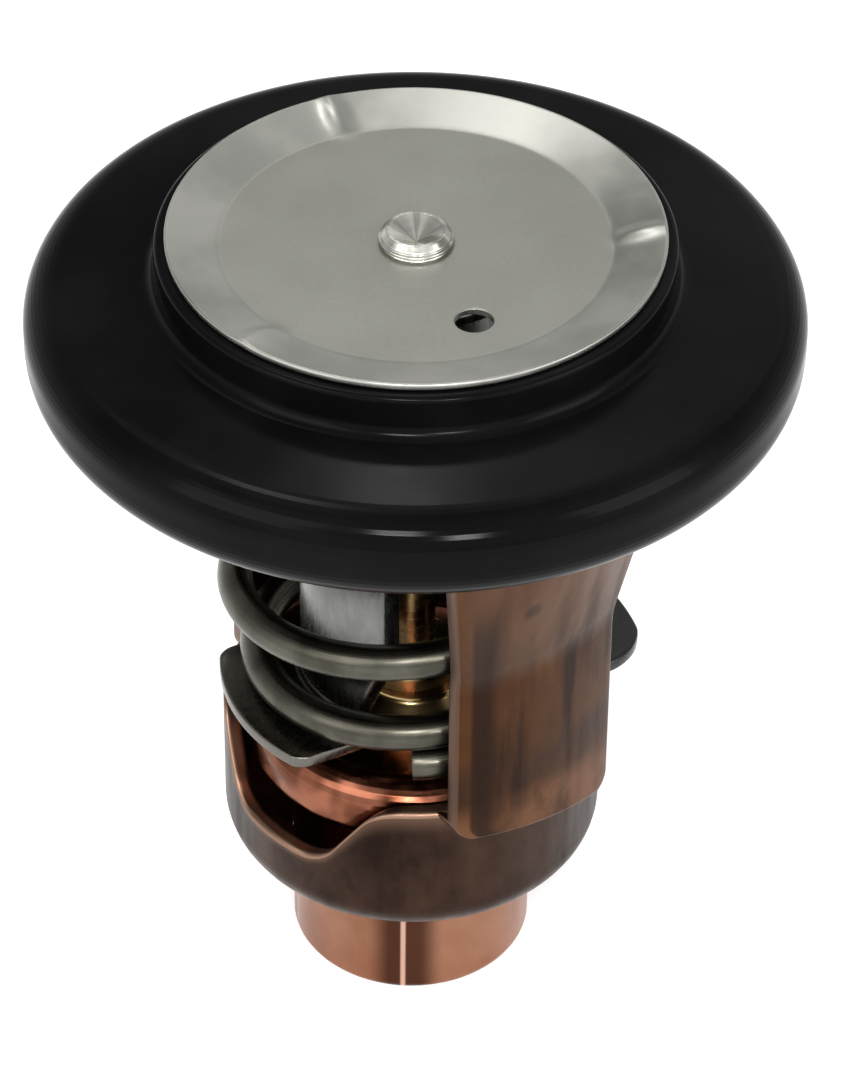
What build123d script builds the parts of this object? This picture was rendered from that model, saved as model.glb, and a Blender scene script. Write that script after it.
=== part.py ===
from build123d import *
import os
from math import asin, cos, degrees, radians, sin, sqrt

# A wax thermostat for an engine's cooling system. A rubber-rimmed flange hangs in the
# housing; two legs carry a bowl below it, and the wax cup is pressed through the bowl's
# floor. The hot wax pushes the piston up, the piston lifts the valve plate off the rubber
# collar, and the spring, caught between the flange and the feet of the yoke, shuts it.
#
# Millimetres. The origin is the centre of the cup's flat base, and +Z runs up the piston.
# An azimuth is counted anticlockwise from the front, which is -Y, as seen from above.

# ---- wax cup -------------------------------------------------------------------------
CUP_RADIUS = 8.25
CUP_WALL = 0.8
CUP_BASE = 1.0
CUP_BASE_ROUND = 0.35
SHOULDER_WIDTH = 2.95         # barrel to the edge of the shoulder
SHOULDER_ROUND = 0.9
CUP_NECK_ROUND = 0.5
CUP_INNER_ROUND = 0.3
SHOULDER_PROUD = 0.1          # crimped lip over the bowl's rim
CRIMP_ROUND = 1.3
CRIMP_WIDTH = 5.5             # edge of the shoulder to the inner edge of the crimped lip
CRIMP_BEAD_WIDTH = 2.3        # edge of the shoulder to the step in the crimped lip
CRIMP_STEP = 0.3

# ---- frame, from one sheet -----------------------------------------------------------
SHEET = 1.15
BOWL_GAP = 0.55               # shoulder of the cup to the bowl's wall
BOWL_STANDOFF = 7.25          # base of the cup to the bowl's lower lip
BOWL_CONE_RISE = 3.75         # lower lip to where the cone would meet the wall
BOWL_HEIGHT = 13.75           # lower lip to the rim
BOWL_CORNER_ROUND = 2.4       # outer radius where the wall turns in
LEG_HEIGHT = 29.3             # bowl's rim to the flange's underside
LEG_AZIMUTHS = (38.2, 213)
LEG_WIDTH = 13.0
LEG_CROWN = 22.0              # radius of the leg's curved section
LEG_LAP = 3.4                 # how far the leg's foot reaches below the rim
LEG_FOOT_SLANT = 2.2          # how much higher the foot's left corner is
LEG_FOOT_ROUND = 1.6
LEG_KNEE = 12.0               # bowl's rim to the bend
LEG_BEND = 8.0
LEG_GAP = 0.42                # spring's waist to the leg's inner face
LEG_HEAD_WIDTH = 19.4         # leg's width where it meets the flange
LEG_HEAD_START = 12.5         # bowl's rim to where the leg starts to widen
LEG_HEAD_ROUND = 8.0
NOTCH_AZIMUTH = -46.5
NOTCH_WIDTH = 15.0
NOTCH_FLOOR_WIDTH = 8.0
NOTCH_DEPTH = 5.7
NOTCH_BOTTOM_ROUND = 3.0
NOTCH_TOP_ROUND = 2.5

# ---- flange and sealing ring ---------------------------------------------------------
RING_RADIUS = 25.0
RING_WALL = 2.8               # rubber outside the flange's edge
RING_LIP = 1.6                # how far the rubber laps under the flange
RING_BELOW = 1.2              # rubber under the flange
RING_ABOVE = 3.9              # rubber over the flange, at the rim
RING_CROWN = 0.6              # rise of the top face from rim to collar
RING_TOP_ROUND = 2.5
RING_FOOT_ROUND = 2.7
RING_LIP_ROUND = 0.3
COLLAR_HEIGHT = 6.48          # flange's top to the underside of the valve plate's flat
COLLAR_FOOT_ROUND = 0.9
COLLAR_EDGE_ROUND = 0.35
SEAT_ROUND = 0.3
COLLAR_EDGE = 0.71            # flat top of the collar outside the valve plate
SEAT_WIDTH = 2.89             # valve plate's edge to the collar's bore
FLANGE_LEDGE = 0.4            # flange inside the collar's bore
LEG_INSET = 2.9               # outer face of a leg to the rubber, under the flange

# ---- valve plate ---------------------------------------------------------------------
PLATE_SHEET = 0.5
PLATE_RADIUS = 15.89
PLATE_RIM_WIDTH = 3.41
PLATE_DISH = 0.97             # rise of the rim over the flat
PLATE_BEND = 0.8
PLATE_EDGE_ROUND = 0.15
RIB_AZIMUTHS = (92, 202, 318)
RIB_HALF_WIDTH = 0.75
RIB_PROUD = 0.3
RIB_LENGTH = 2.6
BLEED_AZIMUTH = 23.9
BLEED_PITCH_RADIUS = 8.96
BLEED_RADIUS = 1.22

# ---- rivet and piston ----------------------------------------------------------------
RIVET_SHANK_RADIUS = 1.7
RIVET_HEAD_LEDGE = 0.7
RIVET_HEAD_HEIGHT = 1.0
RIVET_RIM_HEIGHT = 0.5        # upright edge of the head
RIVET_HEAD_ROUND = 0.3
RIVET_EDGE_ROUND = 0.12
RIVET_BOSS_WALL = 1.2
RIVET_BOSS_LENGTH = 3.0
RIVET_BOSS_ROUND = 0.3
RIVET_DIMPLE_WALL = 0.6       # edge of the head to the edge of the dimple
RIVET_DIMPLE_DEPTH = 1.05
SOCKET_DEPTH = 2.2
PISTON_RADIUS = 1.5
PISTON_TIP = 0.8              # length of the taper at its lower end
PISTON_TIP_SHARE = 0.5        # width of the tip as a share of the piston's
PISTON_EDGE_ROUND = 0.2

# ---- yoke ----------------------------------------------------------------------------
YOKE_RADIUS = 7.6
YOKE_SHEET = 0.9
ARM_HALF_WIDTH = 5.6
ARM_FOOT_HALF_WIDTH = 3.9
ARM_TAPER_LENGTH = 6.0
FRONT_FOOT_AZIMUTH = -62
FRONT_FOOT_OVERHANG = 1.55    # foot outside the spring's lowest coil
FRONT_FOOT_ROUND = 0.8
BACK_FOOT_AZIMUTH = 120
BACK_FOOT_OVERHANG = 4.45
BACK_FOOT_ROUND = 2.6
FOOT_WIDTH = 12.5
FOOT_CLEARANCE = 1.2          # spring's cut end over the bowl's rim

# ---- return spring -------------------------------------------------------------------
WIRE_RADIUS = 1.2
SPRING_SLACK = 1.55           # yoke's arms to the lowest coil
SPRING_LEDGE = 0.4            # flange's hole to the centre line of the top coil
SPRING_TURNS = (0.0, 1.0, 2.0, 3.0, 3.6, 4.5)
SPRING_RISE = (0.0, 0.107, 0.388, 0.750, 0.910, 1.0)      # share of its height by each turn
SPRING_WIDENING = (0.0, 0.05, 0.5, 0.69, 0.87, 1.0)       # share of its widening
SPRING_WAIST_TURN = 1.6       # where the legs stand closest
SPRING_LEAN = 1.6             # how far its upper end sits to the left, towards -X
SPRING_STEPS = 14             # points a turn

# ---- inside the wax cup --------------------------------------------------------------
WAX_BELOW = 2.9               # wax under the sleeve
SLEEVE_FLANGE = 1.2
SLEEVE_WALL = 1.6
SLEEVE_END = 1.2
SLEEVE_END_ROUND = 1.0
SLEEVE_ROOT_ROUND = 0.3
GUIDE_FLANGE = 1.5
GUIDE_BOSS_RISE = 0.7
GUIDE_CONE_RISE = 1.6
GUIDE_NECK_WALL = 1.85
GUIDE_NECK_RISE = 2.1
GUIDE_CAP_ROUND = 0.3
GUIDE_CONE_ROUND = 0.6
GUIDE_NECK_ROUND = 0.4
GUIDE_BORE_ROUND = 0.2
WASHER_WIDTH = 1.45
WASHER_THICKNESS = 0.75

# ---- clearances ----------------------------------------------------------------------
FIT = 0.02                    # between pieces that stay together
RUNNING_FIT = 0.05            # round the piston where it slides
TIP_GAP = 0.2                 # under the piston's tip
SEAT_GAP = 0.1                # valve plate over its seat, spring over its feet
WAX_EDGE = 0.3                # bevel of the wax in the cup's corners

# ---- radii that follow ----------------------------------------------------------------
CUP_BORE = CUP_RADIUS - CUP_WALL
SHOULDER_RADIUS = CUP_RADIUS + SHOULDER_WIDTH
SHOULDER_BORE = SHOULDER_RADIUS - CUP_WALL
CRIMP_LIP_RADIUS = SHOULDER_RADIUS - CRIMP_WIDTH
CRIMP_BEAD_RADIUS = SHOULDER_RADIUS - CRIMP_BEAD_WIDTH
BOWL_RADIUS = SHOULDER_RADIUS + BOWL_GAP + SHEET
BOWL_BORE = CUP_RADIUS + FIT
PLATE_FLAT_RADIUS = PLATE_RADIUS - PLATE_RIM_WIDTH
PLATE_SLOPE = PLATE_DISH / PLATE_RIM_WIDTH
COLLAR_RADIUS = PLATE_RADIUS + COLLAR_EDGE
COLLAR_BORE = PLATE_RADIUS - SEAT_WIDTH
FLANGE_HOLE = COLLAR_BORE - FLANGE_LEDGE
FLANGE_RADIUS = RING_RADIUS - RING_WALL
RING_LIP_RADIUS = FLANGE_RADIUS - RING_LIP
PISTON_SOCKET = PISTON_RADIUS + FIT
PISTON_BORE = PISTON_RADIUS + RUNNING_FIT
SLEEVE_RADIUS = PISTON_BORE + SLEEVE_WALL
WASHER_RADIUS = PISTON_BORE + WASHER_WIDTH
YOKE_BORE = YOKE_RADIUS - YOKE_SHEET
SPRING_FOOT_RADIUS = YOKE_RADIUS + SPRING_SLACK + WIRE_RADIUS
SPRING_MOUTH_RADIUS = FLANGE_HOLE + SPRING_LEDGE

# ---- heights that follow --------------------------------------------------------------
BOWL_RIM = BOWL_STANDOFF + BOWL_HEIGHT
FLANGE_HEIGHT = BOWL_RIM + LEG_HEIGHT
FLANGE_TOP = FLANGE_HEIGHT + SHEET
RING_BOTTOM = FLANGE_HEIGHT - RING_BELOW
RING_TOP = FLANGE_TOP + RING_ABOVE
PLATE_HEIGHT = FLANGE_TOP + COLLAR_HEIGHT
PLATE_TOP = PLATE_HEIGHT + PLATE_SHEET
BRIDGE_BOTTOM = PLATE_HEIGHT - YOKE_SHEET
RIVET_BOTTOM = BRIDGE_BOTTOM - RIVET_BOSS_LENGTH
SPRING_BOTTOM = BOWL_RIM + FOOT_CLEARANCE + WIRE_RADIUS
SPRING_TOP = FLANGE_HEIGHT - FIT - WIRE_RADIUS
CUP_TOP = BOWL_RIM + SHOULDER_PROUD
CRIMP_UNDERSIDE = CUP_TOP - CUP_WALL
GUIDE_BOTTOM = CRIMP_UNDERSIDE - GUIDE_FLANGE
SHOULDER_FLOOR = GUIDE_BOTTOM - SLEEVE_FLANGE
BARREL_LENGTH = SHOULDER_FLOOR - CUP_WALL
SLEEVE_BOTTOM = CUP_BASE + WAX_BELOW
SLEEVE_FLOOR = SLEEVE_BOTTOM + SLEEVE_END
PISTON_FOOT = SLEEVE_FLOOR + TIP_GAP
PISTON_TOP = RIVET_BOTTOM + SOCKET_DEPTH - FIT


def plan_angle(azimuth):
    """Degrees from +X of an azimuth that is counted from the front."""
    return azimuth - 90


def facing(azimuth, height=0):
    """Upright plane on the axis whose normal points outward along an azimuth."""
    angle = radians(plan_angle(azimuth))
    outward = (cos(angle), sin(angle), 0)
    sideways = (-sin(angle), cos(angle), 0)
    return Plane(origin=(0, 0, height), x_dir=sideways, z_dir=outward)


def along(azimuth):
    """Upright plane whose x runs outward along an azimuth and whose y is up."""
    angle = radians(plan_angle(azimuth))
    return Plane(origin=(0, 0, 0), x_dir=(cos(angle), sin(angle), 0), z_dir=(sin(angle), -cos(angle), 0))


def between(turn, values):
    """Smooth value at a turn of the spring, eased from each listed turn to the next."""
    last = len(SPRING_TURNS) - 1
    slopes = []
    for k in range(last + 1):
        low, high = max(k - 1, 0), min(k + 1, last)
        slopes.append((values[high] - values[low]) / (SPRING_TURNS[high] - SPRING_TURNS[low]))
    k = min(sum(turn >= knot for knot in SPRING_TURNS) - 1, last - 1)
    span = SPRING_TURNS[k + 1] - SPRING_TURNS[k]
    t = (turn - SPRING_TURNS[k]) / span
    start = (1 + 2 * t) * (1 - t)**2 * values[k] + t * (1 - t)**2 * span * slopes[k]
    end = t * t * (3 - 2 * t) * values[k + 1] + t * t * (t - 1) * span * slopes[k + 1]
    return start + end


def wire_height(turn):
    """Height of the spring's centre line at a turn counted up from the front."""
    return SPRING_BOTTOM + (SPRING_TOP - SPRING_BOTTOM) * between(turn, SPRING_RISE)


def wire_radius(turn):
    """Distance of the spring's centre line from the axis at a turn."""
    widening = SPRING_MOUTH_RADIUS - SPRING_FOOT_RADIUS
    return SPRING_FOOT_RADIUS + widening * between(turn, SPRING_WIDENING)


def wire_point(turn):
    """Point of the spring's centre line, which starts at the front and rises anticlockwise."""
    angle = radians(plan_angle(360 * turn))
    radius = wire_radius(turn)
    lean = SPRING_LEAN * between(turn, SPRING_RISE)
    return Vector(radius * cos(angle) - lean, radius * sin(angle), wire_height(turn))


# ---- sealing ring --------------------------------------------------------------------
# The seat is a cone that runs parallel to the underside of the valve plate's rim.
seat_inner = PLATE_HEIGHT - SEAT_GAP + PLATE_SLOPE * (COLLAR_BORE - PLATE_FLAT_RADIUS)
seat_outer = PLATE_HEIGHT - SEAT_GAP + PLATE_DISH

with BuildPart() as seal_ring:
    with BuildSketch(Plane.XZ):
        with BuildLine():
            FilletPolyline(
                (COLLAR_BORE, FLANGE_TOP),
                (COLLAR_BORE, seat_inner),
                (PLATE_RADIUS, seat_outer),
                (COLLAR_RADIUS, seat_outer),
                (COLLAR_RADIUS, RING_TOP + RING_CROWN),
                (RING_RADIUS, RING_TOP),
                (RING_RADIUS, RING_BOTTOM),
                (RING_LIP_RADIUS, RING_BOTTOM),
                (RING_LIP_RADIUS, FLANGE_HEIGHT),
                (FLANGE_RADIUS, FLANGE_HEIGHT),
                (FLANGE_RADIUS, FLANGE_TOP),
                radius=[0, SEAT_ROUND, 0, COLLAR_EDGE_ROUND, COLLAR_FOOT_ROUND,
                        RING_TOP_ROUND, RING_FOOT_ROUND, RING_LIP_ROUND, 0, 0, 0],
                close=True,
            )
        make_face()
    revolve(axis=Axis.Z)
seal_ring.part.label = "seal_ring"

# ---- frame ---------------------------------------------------------------------------
cone_slope = BOWL_CONE_RISE / (BOWL_RADIUS - BOWL_BORE)
lip_height = SHEET * sqrt(1 + cone_slope**2)
corner_height = BOWL_STANDOFF + BOWL_CONE_RISE
inner_corner_height = corner_height + lip_height - SHEET * cone_slope

# One leg: a crowned strip that stands outside the bowl's wall, runs up from a slanted foot
# and flares out to the flange, where it is wider.
leg_distance = wire_radius(SPRING_WAIST_TURN) + WIRE_RADIUS + LEG_GAP + SHEET
leg_foot = BOWL_RIM - LEG_LAP
leg_knee = BOWL_RIM + LEG_KNEE
leg_reach = RING_LIP_RADIUS - LEG_INSET
leg_slope = (leg_reach - leg_distance) / (FLANGE_HEIGHT - leg_knee)
leg_end = FLANGE_TOP + SHEET
leg_head_start = BOWL_RIM + LEG_HEAD_START

with BuildPart() as leg:
    with BuildLine(Plane.XZ) as leg_path:
        FilletPolyline(
            (leg_distance, leg_foot),
            (leg_distance, leg_knee),
            (leg_reach + leg_slope * (leg_end - FLANGE_HEIGHT), leg_end),
            radius=LEG_BEND,
        )
    with BuildSketch(Plane.XY.offset(leg_foot)):
        with Locations((leg_distance - LEG_CROWN, 0)):
            Circle(LEG_CROWN)
            Circle(LEG_CROWN - SHEET, mode=Mode.SUBTRACT)
        with Locations((leg_distance, 0)):
            Rectangle(LEG_CROWN, LEG_HEAD_WIDTH, mode=Mode.INTERSECT)
    sweep(path=leg_path.wires()[0])
    split(bisect_by=Plane.XY.offset(FLANGE_HEIGHT + SHEET / 2), keep=Keep.BOTTOM)
    # Below the rim the sheet closes on the bowl's wall.
    with BuildSketch(Plane.XY.offset(leg_foot)):
        with Locations((leg_distance - LEG_CROWN, 0)):
            Circle(LEG_CROWN)
        with Locations((leg_distance, 0)):
            Rectangle(LEG_CROWN, LEG_WIDTH, mode=Mode.INTERSECT)
        Circle(BOWL_RADIUS - SHEET / 2, mode=Mode.SUBTRACT)
    extrude(amount=LEG_LAP)
    with BuildSketch(Plane.YZ):
        with BuildLine():
            FilletPolyline(
                (-LEG_WIDTH / 2, leg_foot + LEG_FOOT_SLANT),
                (LEG_WIDTH / 2, leg_foot),
                (LEG_WIDTH / 2, leg_head_start),
                (LEG_HEAD_WIDTH / 2, FLANGE_TOP),
                (-LEG_HEAD_WIDTH / 2, FLANGE_TOP),
                (-LEG_WIDTH / 2, leg_head_start),
                radius=[LEG_FOOT_ROUND, LEG_FOOT_ROUND, LEG_HEAD_ROUND, 0, 0, LEG_HEAD_ROUND],
                close=True,
            )
        make_face()
    extrude(amount=RING_RADIUS, mode=Mode.INTERSECT)

with BuildPart() as frame:
    with BuildSketch(Plane.XZ):
        with BuildLine():
            FilletPolyline(
                (BOWL_RADIUS, BOWL_RIM),
                (BOWL_RADIUS, corner_height),
                (BOWL_BORE, BOWL_STANDOFF),
                (BOWL_BORE, BOWL_STANDOFF + lip_height),
                (BOWL_RADIUS - SHEET, inner_corner_height),
                (BOWL_RADIUS - SHEET, BOWL_RIM),
                radius=[0, BOWL_CORNER_ROUND, 0, 0, BOWL_CORNER_ROUND - SHEET, 0],
                close=True,
            )
        make_face()
    revolve(axis=Axis.Z)
    for azimuth in (NOTCH_AZIMUTH, NOTCH_AZIMUTH + 180):
        with BuildSketch(facing(azimuth, BOWL_RIM)):
            with BuildLine():
                FilletPolyline(
                    (-NOTCH_WIDTH, 0),
                    (-NOTCH_WIDTH / 2, 0),
                    (-NOTCH_FLOOR_WIDTH / 2, -NOTCH_DEPTH),
                    (NOTCH_FLOOR_WIDTH / 2, -NOTCH_DEPTH),
                    (NOTCH_WIDTH / 2, 0),
                    (NOTCH_WIDTH, 0),
                    (NOTCH_WIDTH, SHEET),
                    (-NOTCH_WIDTH, SHEET),
                    radius=[0, NOTCH_TOP_ROUND, NOTCH_BOTTOM_ROUND, NOTCH_BOTTOM_ROUND,
                            NOTCH_TOP_ROUND, 0, 0, 0],
                    close=True,
                )
            make_face()
        extrude(amount=BOWL_RADIUS + SHEET, mode=Mode.SUBTRACT)
    with BuildSketch(Plane.XY.offset(FLANGE_HEIGHT)):
        Circle(FLANGE_RADIUS - FIT)
        Circle(FLANGE_HOLE, mode=Mode.SUBTRACT)
    extrude(amount=SHEET)
    for azimuth in LEG_AZIMUTHS:
        with Locations(Rotation(0, 0, plan_angle(azimuth))):
            add(leg.part)
frame.part.label = "frame"

# ---- valve plate ---------------------------------------------------------------------
with BuildPart() as valve_plate:
    with BuildSketch(Plane.XZ):
        with BuildLine():
            FilletPolyline(
                (RIVET_SHANK_RADIUS + FIT, PLATE_HEIGHT),
                (PLATE_FLAT_RADIUS, PLATE_HEIGHT),
                (PLATE_RADIUS, PLATE_HEIGHT + PLATE_DISH),
                (PLATE_RADIUS, PLATE_TOP + PLATE_DISH),
                (PLATE_FLAT_RADIUS, PLATE_TOP),
                (RIVET_SHANK_RADIUS + FIT, PLATE_TOP),
                radius=[0, PLATE_BEND + PLATE_SHEET, PLATE_EDGE_ROUND, PLATE_EDGE_ROUND, PLATE_BEND, 0],
                close=True,
            )
        make_face()
    revolve(axis=Axis.Z)
    rib_middle = (PLATE_FLAT_RADIUS + PLATE_RADIUS) / 2
    for azimuth in RIB_AZIMUTHS:
        with BuildSketch(along(azimuth)):
            with BuildLine():
                low = rib_middle - RIB_LENGTH / 2
                high = rib_middle + RIB_LENGTH / 2
                middle_top = PLATE_TOP + PLATE_SLOPE * (rib_middle - PLATE_FLAT_RADIUS)
                start = (low, PLATE_TOP + PLATE_SLOPE * (low - PLATE_FLAT_RADIUS))
                end = (high, PLATE_TOP + PLATE_SLOPE * (high - PLATE_FLAT_RADIUS))
                ThreePointArc(start, (rib_middle, middle_top + RIB_PROUD), end)
                Line(end, start)
            make_face()
        extrude(amount=RIB_HALF_WIDTH, both=True)
    with BuildSketch(Plane.XY.offset(PLATE_HEIGHT)):
        with PolarLocations(BLEED_PITCH_RADIUS, 1, start_angle=plan_angle(BLEED_AZIMUTH)):
            Circle(BLEED_RADIUS)
    extrude(amount=PLATE_SHEET, mode=Mode.SUBTRACT)
valve_plate.part.label = "valve_plate"

# ---- valve rivet ---------------------------------------------------------------------
boss_radius = PISTON_SOCKET + RIVET_BOSS_WALL
head_radius = RIVET_SHANK_RADIUS + RIVET_HEAD_LEDGE
dimple_radius = head_radius - RIVET_DIMPLE_WALL
head_top = PLATE_TOP + RIVET_HEAD_HEIGHT

with BuildPart() as valve_rivet:
    with BuildSketch(Plane.XZ):
        with BuildLine():
            FilletPolyline(
                (0, RIVET_BOTTOM + SOCKET_DEPTH),
                (PISTON_SOCKET, RIVET_BOTTOM + SOCKET_DEPTH),
                (PISTON_SOCKET, RIVET_BOTTOM),
                (boss_radius, RIVET_BOTTOM),
                (boss_radius, BRIDGE_BOTTOM),
                (RIVET_SHANK_RADIUS, BRIDGE_BOTTOM),
                (RIVET_SHANK_RADIUS, PLATE_TOP),
                (head_radius, PLATE_TOP),
                (head_radius, PLATE_TOP + RIVET_RIM_HEIGHT),
                (dimple_radius + RIVET_EDGE_ROUND, head_top),
                (dimple_radius, head_top),
                (0, head_top - RIVET_DIMPLE_DEPTH),
                radius=[0, 0, 0, RIVET_BOSS_ROUND, 0, 0, 0, RIVET_EDGE_ROUND, RIVET_HEAD_ROUND,
                        0, 0, 0],
                close=True,
            )
        make_face()
    revolve(axis=Axis.Z)
valve_rivet.part.label = "valve_rivet"

# ---- yoke ----------------------------------------------------------------------------
def make_arm(azimuth, overhang, corner_round):
    """Curved arm under the bridge, narrowing to its lower end, with its foot turned out."""
    reach = SPRING_FOOT_RADIUS + WIRE_RADIUS + overhang
    spread = degrees(asin(FOOT_WIDTH / 2 / reach))
    lowest_turn = ((azimuth - spread) % 360) / 360
    foot_bottom = wire_height(lowest_turn) - WIRE_RADIUS - SEAT_GAP - YOKE_SHEET
    with BuildPart() as arm:
        with BuildSketch(Plane.XY.offset(foot_bottom)):
            Circle(YOKE_RADIUS)
            Circle(YOKE_BORE, mode=Mode.SUBTRACT)
        extrude(amount=PLATE_HEIGHT - YOKE_SHEET / 2 - foot_bottom)
        with BuildSketch(facing(azimuth)):
            with BuildLine():
                Polyline(
                    (-ARM_FOOT_HALF_WIDTH, foot_bottom),
                    (ARM_FOOT_HALF_WIDTH, foot_bottom),
                    (ARM_HALF_WIDTH, foot_bottom + ARM_TAPER_LENGTH),
                    (ARM_HALF_WIDTH, PLATE_HEIGHT),
                    (-ARM_HALF_WIDTH, PLATE_HEIGHT),
                    (-ARM_HALF_WIDTH, foot_bottom + ARM_TAPER_LENGTH),
                    close=True,
                )
            make_face()
        extrude(amount=YOKE_RADIUS, mode=Mode.INTERSECT)
        with BuildSketch(Plane.XY.offset(foot_bottom)) as foot:
            with PolarLocations(YOKE_BORE + reach / 2, 1, start_angle=plan_angle(azimuth)):
                Rectangle(reach, FOOT_WIDTH)
            Circle(reach, mode=Mode.INTERSECT)
            Circle(YOKE_BORE, mode=Mode.SUBTRACT)
            fillet(foot.vertices().sort_by(SortBy.DISTANCE)[-2:], corner_round)
        extrude(amount=YOKE_SHEET)
    return arm.part


front_arm = make_arm(FRONT_FOOT_AZIMUTH, FRONT_FOOT_OVERHANG, FRONT_FOOT_ROUND)
back_arm = make_arm(BACK_FOOT_AZIMUTH, BACK_FOOT_OVERHANG, BACK_FOOT_ROUND)

with BuildPart() as yoke:
    with BuildSketch(Plane.XY.offset(BRIDGE_BOTTOM)):
        Circle(YOKE_RADIUS)
        Circle(RIVET_SHANK_RADIUS + FIT, mode=Mode.SUBTRACT)
    extrude(amount=YOKE_SHEET)
    add([front_arm, back_arm])
yoke.part.label = "yoke"

# ---- return spring -------------------------------------------------------------------
last_turn = SPRING_TURNS[-1]
wire_points = []
for step in range(round(last_turn * SPRING_STEPS) + 1):
    wire_points.append(wire_point(step / SPRING_STEPS))

with BuildPart() as return_spring:
    with BuildLine() as wire_line:
        Spline(*wire_points)
    with BuildSketch(Plane(origin=wire_line.line @ 0, z_dir=wire_line.line % 0)):
        Circle(WIRE_RADIUS)
    sweep(path=wire_line.wires()[0], is_frenet=True)
return_spring.part.label = "return_spring"

# ---- wax cup -------------------------------------------------------------------------
with BuildPart() as wax_cup:
    with BuildSketch(Plane.XZ):
        with BuildLine():
            FilletPolyline(
                (0, 0),
                (CUP_RADIUS, 0),
                (CUP_RADIUS, BARREL_LENGTH),
                (SHOULDER_RADIUS, BARREL_LENGTH),
                (SHOULDER_RADIUS, CUP_TOP),
                (CRIMP_BEAD_RADIUS, CUP_TOP),
                (CRIMP_BEAD_RADIUS, CUP_TOP - CRIMP_STEP),
                (CRIMP_LIP_RADIUS, CUP_TOP - CRIMP_STEP),
                (CRIMP_LIP_RADIUS, CRIMP_UNDERSIDE),
                (SHOULDER_BORE, CRIMP_UNDERSIDE),
                (SHOULDER_BORE, SHOULDER_FLOOR),
                (CUP_BORE, SHOULDER_FLOOR),
                (CUP_BORE, CUP_BASE),
                (0, CUP_BASE),
                radius=[0, CUP_BASE_ROUND, CUP_NECK_ROUND, SHOULDER_ROUND, CRIMP_ROUND,
                        CRIMP_STEP / 2, CRIMP_STEP / 2, 0, 0, 0, 0, CUP_INNER_ROUND,
                        CUP_INNER_ROUND, 0],
                close=True,
            )
        make_face()
    revolve(axis=Axis.Z)
wax_cup.part.label = "wax_cup"

# ---- squeeze sleeve ------------------------------------------------------------------
with BuildPart() as squeeze_sleeve:
    with BuildSketch(Plane.XZ):
        with BuildLine():
            FilletPolyline(
                (0, SLEEVE_BOTTOM),
                (SLEEVE_RADIUS, SLEEVE_BOTTOM),
                (SLEEVE_RADIUS, SHOULDER_FLOOR + FIT),
                (SHOULDER_BORE - FIT, SHOULDER_FLOOR + FIT),
                (SHOULDER_BORE - FIT, GUIDE_BOTTOM),
                (PISTON_BORE, GUIDE_BOTTOM),
                (PISTON_BORE, SLEEVE_FLOOR),
                (0, SLEEVE_FLOOR),
                radius=[0, SLEEVE_END_ROUND, SLEEVE_ROOT_ROUND, 0, 0, 0, 0, 0],
                close=True,
            )
        make_face()
    revolve(axis=Axis.Z)
squeeze_sleeve.part.label = "squeeze_sleeve"

# ---- wax charge ----------------------------------------------------------------------
with BuildPart() as wax_charge:
    with BuildSketch(Plane.XZ):
        with BuildLine():
            Polyline(
                (0, CUP_BASE + FIT),
                (CUP_BORE - WAX_EDGE, CUP_BASE + FIT),
                (CUP_BORE - FIT, CUP_BASE + WAX_EDGE),
                (CUP_BORE - FIT, SHOULDER_FLOOR - FIT),
                (SLEEVE_RADIUS + WAX_EDGE, SHOULDER_FLOOR - FIT),
                (SLEEVE_RADIUS + FIT, SHOULDER_FLOOR - WAX_EDGE),
                (SLEEVE_RADIUS + FIT, SLEEVE_BOTTOM - FIT),
                (0, SLEEVE_BOTTOM - FIT),
                close=True,
            )
        make_face()
    revolve(axis=Axis.Z)
wax_charge.part.label = "wax_charge"

# ---- piston guide --------------------------------------------------------------------
cap_radius = CRIMP_LIP_RADIUS - FIT
cap_top = CRIMP_UNDERSIDE + GUIDE_BOSS_RISE
cone_top = cap_top + GUIDE_CONE_RISE
neck_radius = PISTON_BORE + GUIDE_NECK_WALL
neck_top = cone_top + GUIDE_NECK_RISE
washer_top = GUIDE_BOTTOM + WASHER_THICKNESS

with BuildPart() as piston_guide:
    with BuildSketch(Plane.XZ):
        with BuildLine():
            FilletPolyline(
                (WASHER_RADIUS + FIT, GUIDE_BOTTOM + FIT),
                (SHOULDER_BORE - FIT, GUIDE_BOTTOM + FIT),
                (SHOULDER_BORE - FIT, CRIMP_UNDERSIDE - FIT),
                (cap_radius, CRIMP_UNDERSIDE - FIT),
                (cap_radius, cap_top),
                (neck_radius, cone_top),
                (neck_radius, neck_top),
                (PISTON_BORE, neck_top),
                (PISTON_BORE, washer_top + FIT),
                (WASHER_RADIUS + FIT, washer_top + FIT),
                radius=[0, 0, 0, 0, GUIDE_CAP_ROUND, GUIDE_CONE_ROUND, GUIDE_NECK_ROUND,
                        GUIDE_BORE_ROUND, 0, 0],
                close=True,
            )
        make_face()
    revolve(axis=Axis.Z)
piston_guide.part.label = "piston_guide"

# ---- anti-extrusion washer -----------------------------------------------------------
with BuildPart() as guide_washer:
    with BuildSketch(Plane.XY.offset(GUIDE_BOTTOM + FIT)):
        Circle(WASHER_RADIUS)
        Circle(PISTON_BORE, mode=Mode.SUBTRACT)
    extrude(amount=WASHER_THICKNESS - FIT)
guide_washer.part.label = "guide_washer"

# ---- piston --------------------------------------------------------------------------
with BuildPart() as piston:
    with BuildSketch(Plane.XZ):
        with BuildLine():
            FilletPolyline(
                (0, PISTON_FOOT),
                (PISTON_RADIUS * PISTON_TIP_SHARE, PISTON_FOOT),
                (PISTON_RADIUS, PISTON_FOOT + PISTON_TIP),
                (PISTON_RADIUS, PISTON_TOP),
                (0, PISTON_TOP),
                radius=[0, PISTON_EDGE_ROUND, 0, PISTON_EDGE_ROUND, 0],
                close=True,
            )
        make_face()
    revolve(axis=Axis.Z)
piston.part.label = "piston"

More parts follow.
